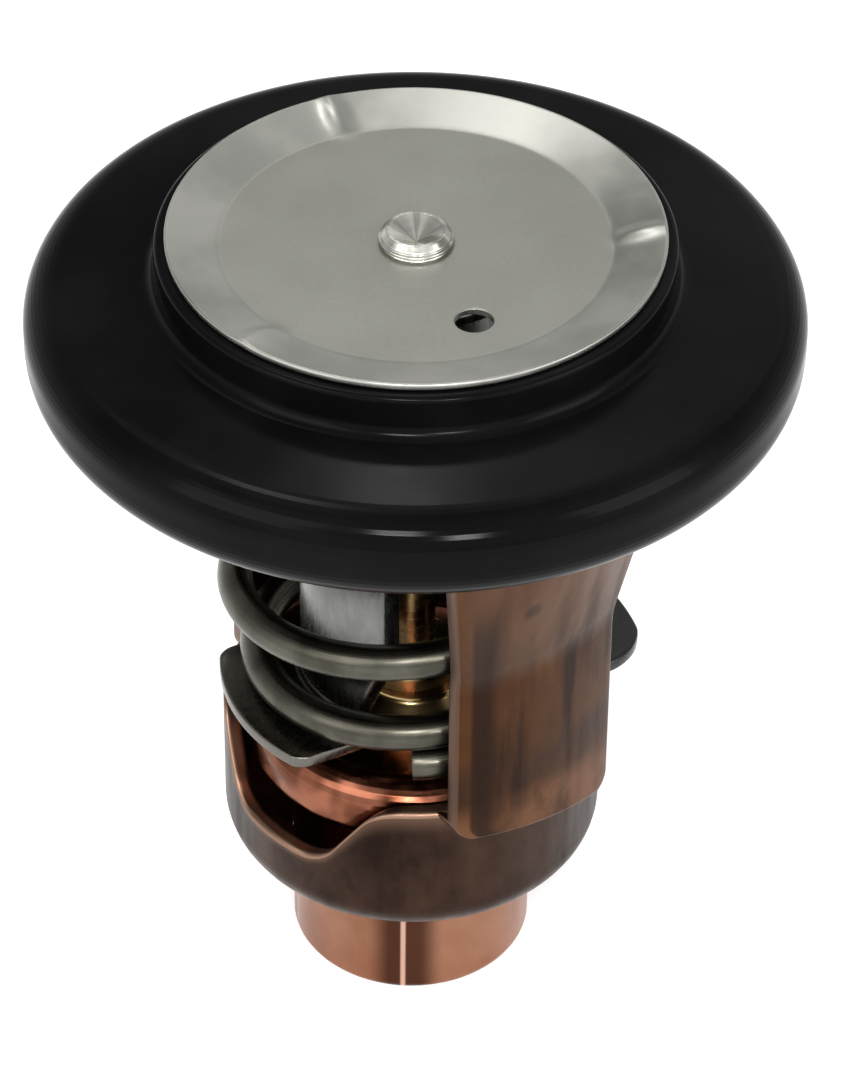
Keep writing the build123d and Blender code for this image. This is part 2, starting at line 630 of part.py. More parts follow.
# ---- files ---------------------------------------------------------------------------
os.makedirs("parts", exist_ok=True)
pieces = (
    seal_ring, frame, valve_plate, valve_rivet, yoke, return_spring,
    wax_cup, squeeze_sleeve, wax_charge, piston_guide, guide_washer, piston,
)
for piece in pieces:
    export_step(piece.part, f"parts/{piece.part.label}.step")
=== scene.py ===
# %% [markdown]
# # A wax thermostat, dressed for the camera
# A thermostat like this one sits in an engine's coolant outlet. A black rubber ring seals it
# in the housing, a stainless disc closes its throat, and a copper cup full of wax hangs below
# in the warm coolant. When the wax melts it pushes a brass pin up, and the pin lifts the disc.
#
# The sizes come from a CAD model that is already in the file. This lesson gives each visible
# piece a smoother surface and a finish: pressed metal, drawn wire, patina, moulded rubber.

# %% Load the model
from math import cos, pi, radians, sin, tau

import bmesh
import bpy
import numpy as np
from mathutils import Matrix, Vector


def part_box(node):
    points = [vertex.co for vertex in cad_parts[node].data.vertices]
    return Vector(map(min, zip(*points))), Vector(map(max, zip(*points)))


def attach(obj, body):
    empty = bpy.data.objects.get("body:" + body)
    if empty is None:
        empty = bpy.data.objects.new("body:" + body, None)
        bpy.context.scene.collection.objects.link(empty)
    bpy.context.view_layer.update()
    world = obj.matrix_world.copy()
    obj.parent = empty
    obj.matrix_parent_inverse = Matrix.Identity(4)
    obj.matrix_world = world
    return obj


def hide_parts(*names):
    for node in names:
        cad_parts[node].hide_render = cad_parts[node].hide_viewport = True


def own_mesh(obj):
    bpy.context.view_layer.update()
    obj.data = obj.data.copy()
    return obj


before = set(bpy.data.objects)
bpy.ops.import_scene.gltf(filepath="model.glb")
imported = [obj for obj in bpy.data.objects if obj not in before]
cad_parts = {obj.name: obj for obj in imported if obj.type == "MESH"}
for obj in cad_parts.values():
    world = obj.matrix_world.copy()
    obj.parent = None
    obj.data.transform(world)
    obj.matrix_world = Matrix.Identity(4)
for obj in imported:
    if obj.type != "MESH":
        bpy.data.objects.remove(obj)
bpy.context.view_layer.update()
print("nodes:", ", ".join(sorted(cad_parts)))

# %% [markdown]
# ## Surfaces from grids
# Almost everything here was made by turning, drawing or pressing, so a piece is a grid of
# points worked out by a formula. One direction of the grid goes round the piece and the other
# goes along its outline. Working the whole grid out as one array is quick, and the faces can
# be any size we like. Sharp corners look wrong on real metal, so an outline is given by its
# corners, and each corner is rounded by a small arc. Sizes are in millimetres.

# %% Outlines with rounded corners
MM = 0.001
LONG_SIDE = 0.3
BESIDE_CORNER = 0.05


def rounded(corners, radii, arc=7, close=True):
    """Outline through the corners, in millimetres, with an arc of its own radius at each.

    The arc leaves both sides at radius / tan(half the corner's angle) from the corner, and its
    points are its centre plus the radius times a blend of the two side directions. A straight
    stretch gets an extra point near each end, which keeps its shading flat.
    """
    corners = np.array(corners, float)
    points = []
    for i, (corner, radius) in enumerate(zip(corners, radii)):
        if radius == 0:
            points.append(corner[None])
            continue
        before = corners[i - 1] - corner
        after = corners[(i + 1) % len(corners)] - corner
        before /= np.linalg.norm(before)
        after /= np.linalg.norm(after)
        half = np.arccos(np.clip(before @ after, -1, 1)) / 2
        middle = (before + after) / np.linalg.norm(before + after)
        centre = corner + middle * radius / sin(half)
        start = corner + before * radius / np.tan(half) - centre
        end = corner + after * radius / np.tan(half) - centre
        sweep = pi - 2 * half
        t = np.linspace(0, 1, arc)[:, None]
        points.append(centre + (np.sin((1 - t) * sweep) * start + np.sin(t * sweep) * end) / sin(sweep))
    points = np.vstack(points)
    following = np.roll(points, -1, axis=0) if close else np.vstack([points[1:], points[-1:]])
    length = np.linalg.norm(following - points, axis=1)
    near = np.where(length > LONG_SIDE, BESIDE_CORNER / np.maximum(length, 1e-9), 0)[:, None]
    step = (following - points) * near
    spread = np.stack([points, points + step, following - step], 1)
    keep = np.stack([np.ones(len(points), bool), near[:, 0] > 0, near[:, 0] > 0], 1)
    return spread[keep]


def finer(outline, step, close=True):
    """The same outline with points no more than one step apart along each straight."""
    ends = np.roll(outline, -1, axis=0) if close else outline[1:]
    starts = outline if close else outline[:-1]
    counts = np.maximum(np.ceil(np.linalg.norm(ends - starts, axis=1) / step).astype(int), 1)
    runs = [
        start + (end - start) * np.linspace(0, 1, count, endpoint=False)[:, None]
        for start, end, count in zip(starts, ends, counts)
    ]
    return np.vstack(runs if close else runs + [outline[-1:]])


def turned(outline, steps=256):
    """Grid of an outline of (radius, height) points turned about the upright axis.

    A point at angle a is (radius * cos a, radius * sin a, height).
    """
    angle = np.linspace(0, tau, steps, endpoint=False)[:, None]
    radius, height = outline[:, 0], outline[:, 1]
    return np.stack([radius * np.cos(angle), radius * np.sin(angle), height + 0 * angle], 2)


def turned_to(angle):
    """Matrix that turns rows of points from the +X direction to an angle about the upright axis."""
    return np.array([[cos(angle), sin(angle), 0], [-sin(angle), cos(angle), 0], [0, 0, 1]])


# %% From a grid to a piece
def mesh_object(name, points, faces):
    """Object with a new mesh of points in metres."""
    mesh = bpy.data.meshes.new(name)
    mesh.from_pydata(points, [], faces)
    obj = bpy.data.objects.new(name, mesh)
    bpy.context.scene.collection.objects.link(obj)
    return obj


def cleaned(mesh):
    """Merges points that meet, drops what has no area and turns the faces outward.

    Returns how many edges don't have exactly two faces.
    """
    shape = bmesh.new()
    shape.from_mesh(mesh)
    bmesh.ops.remove_doubles(shape, verts=shape.verts, dist=1e-7)
    bmesh.ops.dissolve_degenerate(shape, edges=shape.edges, dist=1e-8)
    bare_edges = [edge for edge in shape.edges if not edge.link_faces]
    bmesh.ops.delete(shape, geom=bare_edges, context="EDGES")
    bmesh.ops.recalc_face_normals(shape, faces=shape.faces)
    open_edges = sum(not edge.is_manifold for edge in shape.edges)
    shape.to_mesh(mesh)
    shape.free()
    return open_edges


def piece(name, grid, body, stands_for, round_rows=True):
    """Piece of a body from a grid of points in millimetres, one quad for each cell of the grid.

    The last column joins the first, and so does the last row where the rows go round. The UV
    map counts rows and columns from 0 to 1.
    """
    rows, columns = grid.shape[:2]
    last_row = rows if round_rows else rows - 1
    i, j = np.meshgrid(np.arange(last_row), np.arange(columns), indexing="ij")
    i, j = i.ravel(), j.ravel()
    up, right = (i + 1) % rows, (j + 1) % columns
    quads = np.stack([i * columns + j, up * columns + j, up * columns + right, i * columns + right], 1)
    obj = mesh_object(name, (grid.reshape(-1, 3) * MM).tolist(), quads.tolist())
    u = np.stack([i, i + 1, i + 1, i], 1) / last_row
    v = np.stack([j, j, j + 1, j + 1], 1) / columns
    uv = np.stack([u, v], 2).reshape(-1).astype(np.float32)
    obj.data.uv_layers.new(name="UVMap").data.foreach_set("uv", uv)
    open_edges = cleaned(obj.data)
    obj.data.polygons.foreach_set("use_smooth", np.ones(len(obj.data.polygons), bool))
    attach(obj, body)
    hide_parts(*stands_for)
    print(f"{name}: {len(obj.data.polygons)} faces, {open_edges} open edges")
    return obj


# %% [markdown]
# ## The rubber ring
# The ring is moulded on to the frame's flange. Its rim is thick and round, its top rises
# gently to an upright collar, and the collar's top is a cone that the disc closes on. One
# closed outline turned about the axis gives all of it, with each corner's own radius.

# %% Rubber ring
RING_OUTLINE = [
    (13.0, 51.45), (13.0, 57.98), (15.89, 58.8), (16.6, 58.8), (16.6, 55.95),
    (25.0, 55.35), (25.0, 49.1), (20.6, 49.1), (20.6, 50.3), (22.2, 50.3), (22.2, 51.45),
]
RING_ROUNDS = [0, 0.3, 0, 0.35, 0.9, 2.5, 2.7, 0.3, 0, 0, 0]

rubber_ring = piece(
    "rubber_ring", turned(rounded(RING_OUTLINE, RING_ROUNDS, arc=12), steps=360),
    "housing", ["seal_ring"],
)

# %% [markdown]
# ## The disc
# The valve disc is pressed from thin stainless sheet: a flat middle, a rim that rises like
# a saucer's, three short ribs across the rim, and one small bleed hole. A hole is awkward
# on a grid that is centred on the axis. So the grid starts at the hole's own circle, and its
# circles drift back to the middle as they grow. That keeps the hole round with no cutting.

# %% Outline of the disc
HOLE_RADIUS = 1.22
HOLE_ANGLE = radians(-66.1)
HOLE_REACH = 8.96
HOLE_CENTRE = HOLE_REACH * np.array([cos(HOLE_ANGLE), sin(HOLE_ANGLE)])
DISC_FLAT = 12.48
DISC_EDGE = 15.89
DISC_UNDER = 57.93
DISC_SHEET = 0.5
DISC_DISH = 0.97

DISC_TOP = DISC_UNDER + DISC_SHEET
saucer = rounded(
    [(HOLE_RADIUS, DISC_UNDER), (DISC_FLAT, DISC_UNDER), (DISC_EDGE, DISC_UNDER + DISC_DISH),
     (DISC_EDGE, DISC_TOP + DISC_DISH), (DISC_FLAT, DISC_TOP), (HOLE_RADIUS, DISC_TOP)],
    [0.08, 1.3, 0.15, 0.15, 0.8, 0.08],
)
saucer = finer(saucer, step=0.45)
print("disc outline:", len(saucer), "points")

# %% Disc with its ribs
RIB_ANGLES = np.radians([2, 112, 228])
RIB_START = 12.2
RIB_LENGTH = 3.9
RIB_HEIGHT = 0.35
RIB_WIDTH = 0.7
DRIFT_ENDS = DISC_FLAT - 1.0


def ribs(x, y):
    """Height of the pressed ribs: for each rib, half a wave along it times a bell across it."""
    angle, radius = np.arctan2(y, x)[..., None], np.hypot(x, y)[..., None]
    across = radius * np.sin(angle - RIB_ANGLES)
    facing = np.cos(angle - RIB_ANGLES) > 0
    along = np.clip((radius - RIB_START) / RIB_LENGTH, 0, 1)
    return (RIB_HEIGHT * np.sin(pi * along) * np.exp(-(across / RIB_WIDTH) ** 2) * facing).sum(-1)


disc_angle = np.linspace(0, tau, 360, endpoint=False)[:, None]
drift = np.clip((DRIFT_ENDS - saucer[:, 0]) / (DRIFT_ENDS - HOLE_RADIUS), 0, 1)
disc_x = saucer[:, 0] * np.cos(disc_angle) + drift * HOLE_CENTRE[0]
disc_y = saucer[:, 0] * np.sin(disc_angle) + drift * HOLE_CENTRE[1]
disc_z = saucer[:, 1] + ribs(disc_x, disc_y)
valve_disc = piece(
    "valve_disc", np.stack([disc_x, disc_y, disc_z], 2), "valve", ["valve_plate"],
)

# %% [markdown]
# ## The rivet
# A turned rivet holds disc and yoke together, and the brass pin pushes in its lower end. Its
# head stands on a narrow groove, and a centre drill left a cone in the top.

# %% Rivet
RIVET_OUTLINE = [
    (0, 56.23), (1.52, 56.23), (1.52, 54.03), (2.72, 54.03), (2.72, 57.03), (1.7, 57.03),
    (1.7, 58.43), (2.3, 58.43), (2.2, 58.55), (2.4, 58.66), (2.4, 58.84), (2.2, 58.96),
    (2.28, 59.06), (1.9, 59.43), (1.72, 59.43), (0, 58.38),
]
RIVET_ROUNDS = [0, 0, 0, 0.3, 0, 0, 0, 0.03, 0.05, 0.08, 0.08, 0.06, 0.08, 0.12, 0.04, 0]
disc_rivet = piece(
    "disc_rivet", turned(rounded(RIVET_OUTLINE, RIVET_ROUNDS), steps=128),
    "valve", ["valve_rivet"],
)

# %% [markdown]
# ## The frame's bowl
# The frame is one piece of copper-plated sheet: a bowl round the wax cup, two legs and a
# flange inside the rubber. The bowl is turned, but its rim dips into two notches that let
# coolant through. So the rim's height is a function of the angle, and the wall's points are
# stretched between the corner and that height. The lip at the top and at the bore is rounded
# as a sheared edge is after tumbling.

# %% Notches in the bowl's rim
NOTCH_OUTLINE = rounded(
    [(-15, 0), (-7.5, 0), (-4.0, -5.7), (4.0, -5.7), (7.5, 0), (15, 0)],
    [0, 2.5, 3.0, 3.0, 2.5, 0], arc=12, close=False,
)
NOTCH_ANGLE = radians(-136.5)


def rim_drop(x, y):
    """How far the rim lies below its full height, from the distance across each notch."""
    across = y * cos(NOTCH_ANGLE) - x * sin(NOTCH_ANGLE)
    right_half = NOTCH_OUTLINE[len(NOTCH_OUTLINE) // 2:]
    return np.interp(np.abs(across), right_half[:, 0], right_half[:, 1])


# %% Bowl
SHEET = 1.15
RIM_HEIGHT = 21.0
WALL_START = 12.4
BOWL_RADIUS = 12.9
BOWL_INSIDE = BOWL_RADIUS - SHEET
RIM_ROOM = 0.4
EDGE_DEPTH = 0.2

bowl_outline = rounded(
    [(BOWL_RADIUS, RIM_HEIGHT), (BOWL_RADIUS, 11.0), (8.27, 7.25), (8.27, 8.73),
     (BOWL_INSIDE, 11.55), (BOWL_INSIDE, RIM_HEIGHT)],
    [0.35, 2.4, 0.3, 0.1, 1.25, 0.35],
)
bowl_outline = finer(bowl_outline, step=0.6)
bowl_grid = turned(bowl_outline, steps=900)
stretch = np.clip((bowl_grid[..., 2] - WALL_START) / (RIM_HEIGHT - RIM_ROOM - WALL_START), 0, 1)
bowl_grid[..., 2] += stretch * rim_drop(bowl_grid[..., 0], bowl_grid[..., 1])
frame_bowl = piece("frame_bowl", bowl_grid, "housing", ["frame"])
cut_edge = np.flatnonzero(bowl_outline[:, 1] > RIM_HEIGHT - EDGE_DEPTH) / len(bowl_outline)
edge_from, edge_to = cut_edge[cut_edge > 0.5].min(), cut_edge[cut_edge < 0.5].max()
print(f"sheared edge of the bowl: above {edge_from:.3f} or below {edge_to:.3f} across its UV map")

# %% [markdown]
# ## The legs
# Each leg is a strip of the same sheet, crowned like a gutter for stiffness. It stands
# against the bowl, runs up outside the spring and flares out under the ring, where it is
# wider. A section with rounded edges is carried along the bent path, and its width is a
# function of the height. The section is worked out once as corner centres plus quarter
# circles, so its edges keep the same roundness where the leg widens. The foot is cut at a
# slant, so the lowest rows are sheared.

# %% Width and section of a leg
LEG_OUTSIDE = 14.02
LEG_FOOT = 17.6
LEG_HALF = 6.5
LEG_EDGE = 0.28
FOOT_ROUND = 1.6
WIDENS_AT = 33.5
WIDENING_SLOPE = 0.178
WIDENING_EASE = 0.4


def leg_half_width(height):
    """Half width by height: a quarter circle at the foot, then straight, then a smooth widening.

    The widening is a straight line of its slope, eased by a square root where it starts.
    """
    below = np.clip(LEG_FOOT + FOOT_ROUND - height, 0, FOOT_ROUND)
    above = height - WIDENS_AT
    foot = LEG_HALF - FOOT_ROUND + np.sqrt(FOOT_ROUND**2 - below**2)
    return foot + WIDENING_SLOPE / 2 * (above + np.sqrt(above**2 + WIDENING_EASE))


def strip_section(points_across=28, quarter=5):
    """Unit loop: how far across (-1 to 1), how deep (0 or 1) and the edge's own unit arc."""
    turn = np.linspace(0, pi / 2, quarter)
    flat = np.linspace(-1, 1, points_across)[1:-1]
    nothing = 0 * flat
    outer = np.stack([flat, nothing, nothing, nothing + 1], 1)
    inner = np.stack([-flat, nothing + 1, nothing, nothing - 1], 1)
    right_out = np.stack([1 + 0 * turn, 0 * turn, np.sin(turn), np.cos(turn)], 1)
    right_in = np.stack([1 + 0 * turn, 1 + 0 * turn, np.cos(turn), -np.sin(turn)], 1)
    left_in = np.stack([-1 + 0 * turn, 1 + 0 * turn, -np.sin(turn), -np.cos(turn)], 1)
    left_out = np.stack([-1 + 0 * turn, 0 * turn, -np.cos(turn), np.sin(turn)], 1)
    return np.vstack([outer, right_out, right_in, inner, left_in, left_out])


# %% Path of a leg
LEG_KNEE = 33.0
LEG_TOP = 50.75
LEG_TOP_REACH = 17.78
LEG_BEND = 8.0

leg_path = rounded(
    [(LEG_OUTSIDE, LEG_FOOT + LEG_EDGE), (LEG_OUTSIDE, LEG_KNEE), (LEG_TOP_REACH, LEG_TOP)],
    [0, LEG_BEND, 0], arc=24, close=False,
)
leg_path = finer(leg_path, step=0.2, close=False)
foot_turn = np.linspace(0, pi / 2, 6)[:-1]
foot_rise = LEG_FOOT + LEG_EDGE * (1 - np.cos(foot_turn))
foot_inset = LEG_EDGE * (1 - np.sin(foot_turn))
leg_path = np.vstack([np.stack([0 * foot_rise + LEG_OUTSIDE, foot_rise], 1), leg_path])
inset = np.concatenate([foot_inset, np.zeros(len(leg_path) - len(foot_inset))])[:, None]
slope = np.gradient(leg_path, axis=0)
slope /= np.linalg.norm(slope, axis=1)[:, None]
lean = np.degrees(np.arctan2(slope[-1, 0], slope[-1, 1]))
print(f"leg path: {len(leg_path)} rows, leaning {lean:.1f} degrees at the top")

# %% Two legs
LEG_CROWN = 22.0
LEG_SLANT = 2.2
SLANT_FADES = 27.0
WALL_LAP = 0.5
LAP_FADE = 0.1
LEG_ANGLES = {"frame_leg_front": radians(-51.8), "frame_leg_back": radians(123)}

loop = strip_section()
reach, height = leg_path[:, :1], leg_path[:, 1:]
across = loop[:, 0] * (leg_half_width(height) - LEG_EDGE) + LEG_EDGE * loop[:, 2]
crown = LEG_CROWN - np.sqrt(LEG_CROWN**2 - across**2)
low = np.clip((SLANT_FADES - height) / (SLANT_FADES - LEG_FOOT), 0, 1)
height = height + LEG_SLANT * (0.5 - across / (2 * LEG_HALF)) * low
wall = LEG_OUTSIDE - crown - np.sqrt((BOWL_RADIUS - WALL_LAP) ** 2 - across**2)
laps = np.clip((RIM_HEIGHT + LAP_FADE / 2 - height) / LAP_FADE, 0, 1)
thick = SHEET + laps * (np.maximum(wall, SHEET) - SHEET)
deep = loop[:, 1] * (thick - 2 * LEG_EDGE) + LEG_EDGE * (1 - loop[:, 3])
deep = np.clip(deep, inset, thick - inset)


def leg_rows(depth):
    """Points at a depth under the crowned outer face: the path's point less that depth times
    the direction square to the path."""
    below = crown + depth
    return np.stack([reach - slope[:, 1:] * below, across, height + slope[:, :1] * below], 2)


middle = leg_rows(thick / 2)
leg_grid = np.vstack([middle[:1], leg_rows(deep), middle[-1:]])
legs = [
    piece(name, leg_grid @ turned_to(angle), "housing", ["frame"], round_rows=False)
    for name, angle in LEG_ANGLES.items()
]

# %% Flange inside the rubber
FLANGE_OUTLINE = [(12.6, 50.3), (22.18, 50.3), (22.18, 51.45), (12.6, 51.45)]
frame_flange = piece(
    "frame_flange", turned(rounded(FLANGE_OUTLINE, [0.3, 0.1, 0.1, 0.3]), steps=256),
    "housing", ["frame"],
)

# %% [markdown]
# ## The return spring
# The spring is drawn stainless wire wound into a cone. It opens from its cut end near the
# bowl to its widest coil under the flange, and it leans a little. The centre line is a list
# of heights and radii for a few turns, eased from one to the next, and a circle is carried
# along it. The wire's ends are cut square, and a small arc rounds off the burr.

# %% Centre line of the spring
TURNS = np.array([0.0, 1.0, 2.0, 3.0, 3.6, 4.5])
RISE = np.array([0.0, 0.107, 0.388, 0.750, 0.910, 1.0])
WIDENING = np.array([0.0, 0.05, 0.5, 0.69, 0.87, 1.0])
LEAN = 1.6
COIL_LOW = 10.35
COIL_HIGH = 13.0
SPRING_LOW = 23.4
SPRING_HIGH = 49.08


def eased(turn, values):
    """Smooth value at each turn: a cubic between two listed turns, whose slope at a listed turn
    is the rise between its two neighbours over their distance."""
    index = np.arange(len(TURNS))
    low, high = np.maximum(index - 1, 0), np.minimum(index + 1, len(TURNS) - 1)
    slope = (values[high] - values[low]) / (TURNS[high] - TURNS[low])
    k = np.clip(np.searchsorted(TURNS, turn, side="right") - 1, 0, len(TURNS) - 2)
    span = TURNS[k + 1] - TURNS[k]
    t = (turn - TURNS[k]) / span
    start = (1 + 2 * t) * (1 - t) ** 2 * values[k] + t * (1 - t) ** 2 * span * slope[k]
    end = t * t * (3 - 2 * t) * values[k + 1] + t * t * (t - 1) * span * slope[k + 1]
    return start + end


def wire_height(turn):
    """Height of the centre line at each turn."""
    return SPRING_LOW + (SPRING_HIGH - SPRING_LOW) * eased(turn, RISE)


turn = np.linspace(0, TURNS[-1], 900)
coil = COIL_LOW + (COIL_HIGH - COIL_LOW) * eased(turn, WIDENING)
wire_angle = tau * turn - pi / 2
wire_x = coil * np.cos(wire_angle) - LEAN * eased(turn, RISE)
line = np.stack([wire_x, coil * np.sin(wire_angle), wire_height(turn)], 1)
print("wire line from", line[0].round(2), "to", line[-1].round(2))

# %% Spring
WIRE = 1.2
WIRE_CLEARANCE = 0.005
END_ROUND = 0.15

ahead = np.gradient(line, axis=0)
ahead /= np.linalg.norm(ahead, axis=1)[:, None]
out = np.stack([np.cos(wire_angle), np.sin(wire_angle), 0 * wire_angle], 1)
out -= (out * ahead).sum(1)[:, None] * ahead
out /= np.linalg.norm(out, axis=1)[:, None]
side = np.cross(ahead, out)
round_wire = np.linspace(0, tau, 40, endpoint=False)[None, :, None]
ring = np.cos(round_wire) * out[:, None] + np.sin(round_wire) * side[:, None]
tube = line[:, None] + (WIRE - WIRE_CLEARANCE) * ring


def cut_end(k, direction):
    """Rows that close the wire: its circle shrinks round a small quarter arc, then to a point."""
    quarter = np.linspace(0, pi / 2, 5)[:, None, None]
    size = WIRE - WIRE_CLEARANCE - END_ROUND * (1 - np.cos(quarter))
    rows = line[k] + direction * END_ROUND * (np.sin(quarter) - 1) * ahead[k] + size * ring[k]
    return np.vstack([rows, line[k] + 0 * ring[k][None]])


tube = np.vstack([cut_end(0, -1)[::-1], tube[2:-2], cut_end(-1, 1)])
coil_spring = piece(
    "coil_spring", tube, "housing", ["return_spring"], round_rows=False,
)

# %% [markdown]
# ## The yoke
# The yoke is bent from stainless sheet: a round bridge under the disc, two arms that curve
# round the axis inside the spring, and a foot at each arm's end that carries the lowest
# coil. An arm and its foot are one strip. Its rows lie on circles round the axis, first down
# the arm and then outward along the foot, so the foot's outer edge is part of a circle too.

# %% Arms and feet
YOKE_OUTSIDE = 7.6
YOKE_SHEET = 0.9
YOKE_EDGE = 0.16
ARM_TOP = 57.4
ARM_BEND = 0.6
ARM_HALF_LOW = 3.9
ARM_HALF_HIGH = 5.6
ARM_WIDENS_OVER = 6.0
FOOT_STARTS = YOKE_OUTSIDE + 0.5
FOOT_HALF = 6.25
FOOT_GAP = 0.1


def arm_and_foot(name, azimuth, foot_reach, corner_round):
    """Strip whose middle line stands at an azimuth in degrees.

    A point at a distance y from the middle line is sqrt(radius^2 - y^2) out.
    """
    spread = np.degrees(np.arcsin(FOOT_HALF / foot_reach))
    lowest_turn = ((azimuth - spread) % 360) / 360
    foot_high = wire_height(np.array([lowest_turn]))[0] - WIRE - FOOT_GAP
    foot_low = foot_high - YOKE_SHEET
    foot_end = foot_reach - YOKE_EDGE
    path = rounded(
        [(YOKE_OUTSIDE, ARM_TOP), (YOKE_OUTSIDE, foot_high), (foot_end, foot_high)],
        [0, ARM_BEND, 0], arc=10, close=False,
    )
    path = finer(path, step=0.25, close=False)
    end_turn = np.linspace(0, pi / 2, 6)[1:]
    tip = np.stack([foot_end + YOKE_EDGE * np.sin(end_turn), 0 * end_turn + foot_high], 1)
    rows = np.vstack([path, tip])
    inset = np.concatenate([np.zeros(len(path)), YOKE_EDGE * (1 - np.cos(end_turn))])[:, None]
    along = np.gradient(rows, axis=0)
    along /= np.linalg.norm(along, axis=1)[:, None]
    radius, height = rows[:, :1], rows[:, 1:]
    arm = np.interp(height, [foot_low, foot_low + ARM_WIDENS_OVER], [ARM_HALF_LOW, ARM_HALF_HIGH])
    corner = np.clip(radius - (foot_reach - corner_round), 0, corner_round)
    foot = FOOT_HALF - corner_round + np.sqrt(np.clip(corner_round**2 - corner**2, 0, None))
    half = np.where(radius < FOOT_STARTS, arm, foot)
    loop = strip_section(points_across=24, quarter=4)
    y = loop[:, 0] * (half - YOKE_EDGE) + YOKE_EDGE * loop[:, 2]
    deep = loop[:, 1] * (YOKE_SHEET - 2 * YOKE_EDGE) + YOKE_EDGE * (1 - loop[:, 3])
    deep = np.clip(deep, inset, YOKE_SHEET - inset)

    def strip_rows(depth):
        """Points at a depth under the outer face, square to the path."""
        level = radius + along[:, 1:] * depth
        return np.stack([np.sqrt(level**2 - y**2), y, height - along[:, :1] * depth], 2)

    middle = strip_rows(0 * deep + YOKE_SHEET / 2)
    grid = np.vstack([middle[:1], strip_rows(deep), middle[-1:]]) @ turned_to(radians(azimuth - 90))
    print(f"{name}: foot's underside at {foot_low:.2f} mm")
    return piece(name, grid, "valve", ["yoke"], round_rows=False)


yoke_front = arm_and_foot("yoke_front", azimuth=-63, foot_reach=13.1, corner_round=0.8)
yoke_back = arm_and_foot("yoke_back", azimuth=120, foot_reach=16.0, corner_round=2.6)

# %% Bridge of the yoke
BRIDGE_OUTLINE = [(1.72, 57.03), (YOKE_OUTSIDE, 57.03), (YOKE_OUTSIDE, 57.93), (1.72, 57.93)]
yoke_bridge = piece(
    "yoke_bridge", turned(rounded(BRIDGE_OUTLINE, [0.1, 0.2, 0.3, 0.1]), steps=160),
    "valve", ["yoke"],
)

# %% [markdown]
# ## The wax cup
# The cup is deep drawn from copper, and its wide shoulder is crimped over the guide. Turning
# one closed outline makes it, walls and all. Drawing leaves the radii generous, so no corner
# is sharp. The guide and the pin are turned on a lathe, and the pin ends in a short taper.

# %% Wax cup
CUP_OUTLINE = [
    (0, 0), (8.25, 0), (8.25, 16.8), (11.2, 16.8), (11.2, 21.1), (8.9, 21.1), (8.9, 20.8),
    (5.7, 20.8), (5.7, 20.3), (10.4, 20.3), (10.4, 17.6), (7.45, 17.6), (7.45, 1.0), (0, 1.0),
]
CUP_ROUNDS = [0, 0.6, 0.5, 0.9, 2.1, 0.15, 0.15, 0.2, 0, 0, 0, 0.3, 0.3, 0]
cup_shell = piece(
    "cup_shell", turned(rounded(CUP_OUTLINE, CUP_ROUNDS, arc=9), steps=256),
    "housing", ["wax_cup"],
)

# %% Guide and pin
GUIDE_OUTLINE = [
    (3.02, 18.82), (10.38, 18.82), (10.38, 20.28), (5.68, 20.28), (5.68, 21.0), (3.4, 22.6),
    (3.4, 24.7), (1.55, 24.7), (1.55, 19.57), (3.02, 19.57),
]
GUIDE_ROUNDS = [0, 0, 0, 0, 0.3, 0.6, 0.4, 0.2, 0, 0]
PIN_RADIUS = 1.5
PIN_TAPER = 0.8

guide_bushing = piece(
    "guide_bushing", turned(rounded(GUIDE_OUTLINE, GUIDE_ROUNDS), steps=160),
    "housing", ["piston_guide"],
)
pin_low, pin_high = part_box("piston")
pin_foot, pin_head = pin_low[2] / MM, pin_high[2] / MM
PIN_OUTLINE = [
    (0, pin_foot), (PIN_RADIUS / 2, pin_foot), (PIN_RADIUS, pin_foot + PIN_TAPER),
    (PIN_RADIUS, pin_head), (0, pin_head),
]
push_pin = piece(
    "push_pin", turned(rounded(PIN_OUTLINE, [0, 0.2, 0, 0.2, 0]), steps=96),
    "valve", ["piston"],
)

# %% [markdown]
# ## Finishes
# A finish is a small tree of nodes. Object coordinates tie it to the metal itself, so it
# stays put when the valve moves. A short helper adds a node, sets it up and links whatever
# it is given, which keeps each finish readable from top to bottom. What varies over a
# surface is a mask: a number from 0 to 1 that comes from a height, an angle or some noise.
# A mask fades in between two values, so each is a pair: where it is nothing and where it is
# full. Noise hardly leaves the span from 0.3 to 0.7, which is the pair for most patterns.
# Places and heights are in metres here, as the shader sees them.

# %% Nodes
MICRON = 0.000001
NOISE_SPAN = (0.3, 0.7)


def add(tree, kind, inputs=None, **settings):
    """Adds a node. An input that is a socket is linked, and any other is set."""
    node = tree.nodes.new(kind)
    for key, value in settings.items():
        setattr(node, key, value)
    for key, value in (inputs or {}).items():
        if isinstance(value, bpy.types.NodeSocket):
            tree.links.new(value, node.inputs[key])
        else:
            node.inputs[key].default_value = value
    return node


def noise(tree, place, scale, detail=4.0, stretch=(1, 1, 1), roughness=0.5):
    """Noise of a scale in features a metre, stretched along the axes."""
    mapped = add(tree, "ShaderNodeMapping", {"Vector": place, "Scale": stretch}).outputs[0]
    inputs = {"Vector": mapped, "Scale": scale, "Detail": detail, "Roughness": roughness}
    return add(tree, "ShaderNodeTexNoise", inputs).outputs["Fac"]


def ranged(tree, value, low, high, to_low, to_high):
    """Value mapped from low..high to another range, smoothly and within it."""
    inputs = {"Value": value, "From Min": low, "From Max": high, "To Min": to_low, "To Max": to_high}
    return add(tree, "ShaderNodeMapRange", inputs, interpolation_type="SMOOTHSTEP").outputs[0]


def mixed(tree, amount, first, second):
    """Two colours mixed by an amount."""
    sides = [side if isinstance(side, bpy.types.NodeSocket) else (*side, 1) for side in (first, second)]
    return add(tree, "ShaderNodeMix", {0: amount, 6: sides[0], 7: sides[1]}, data_type="RGBA").outputs[2]


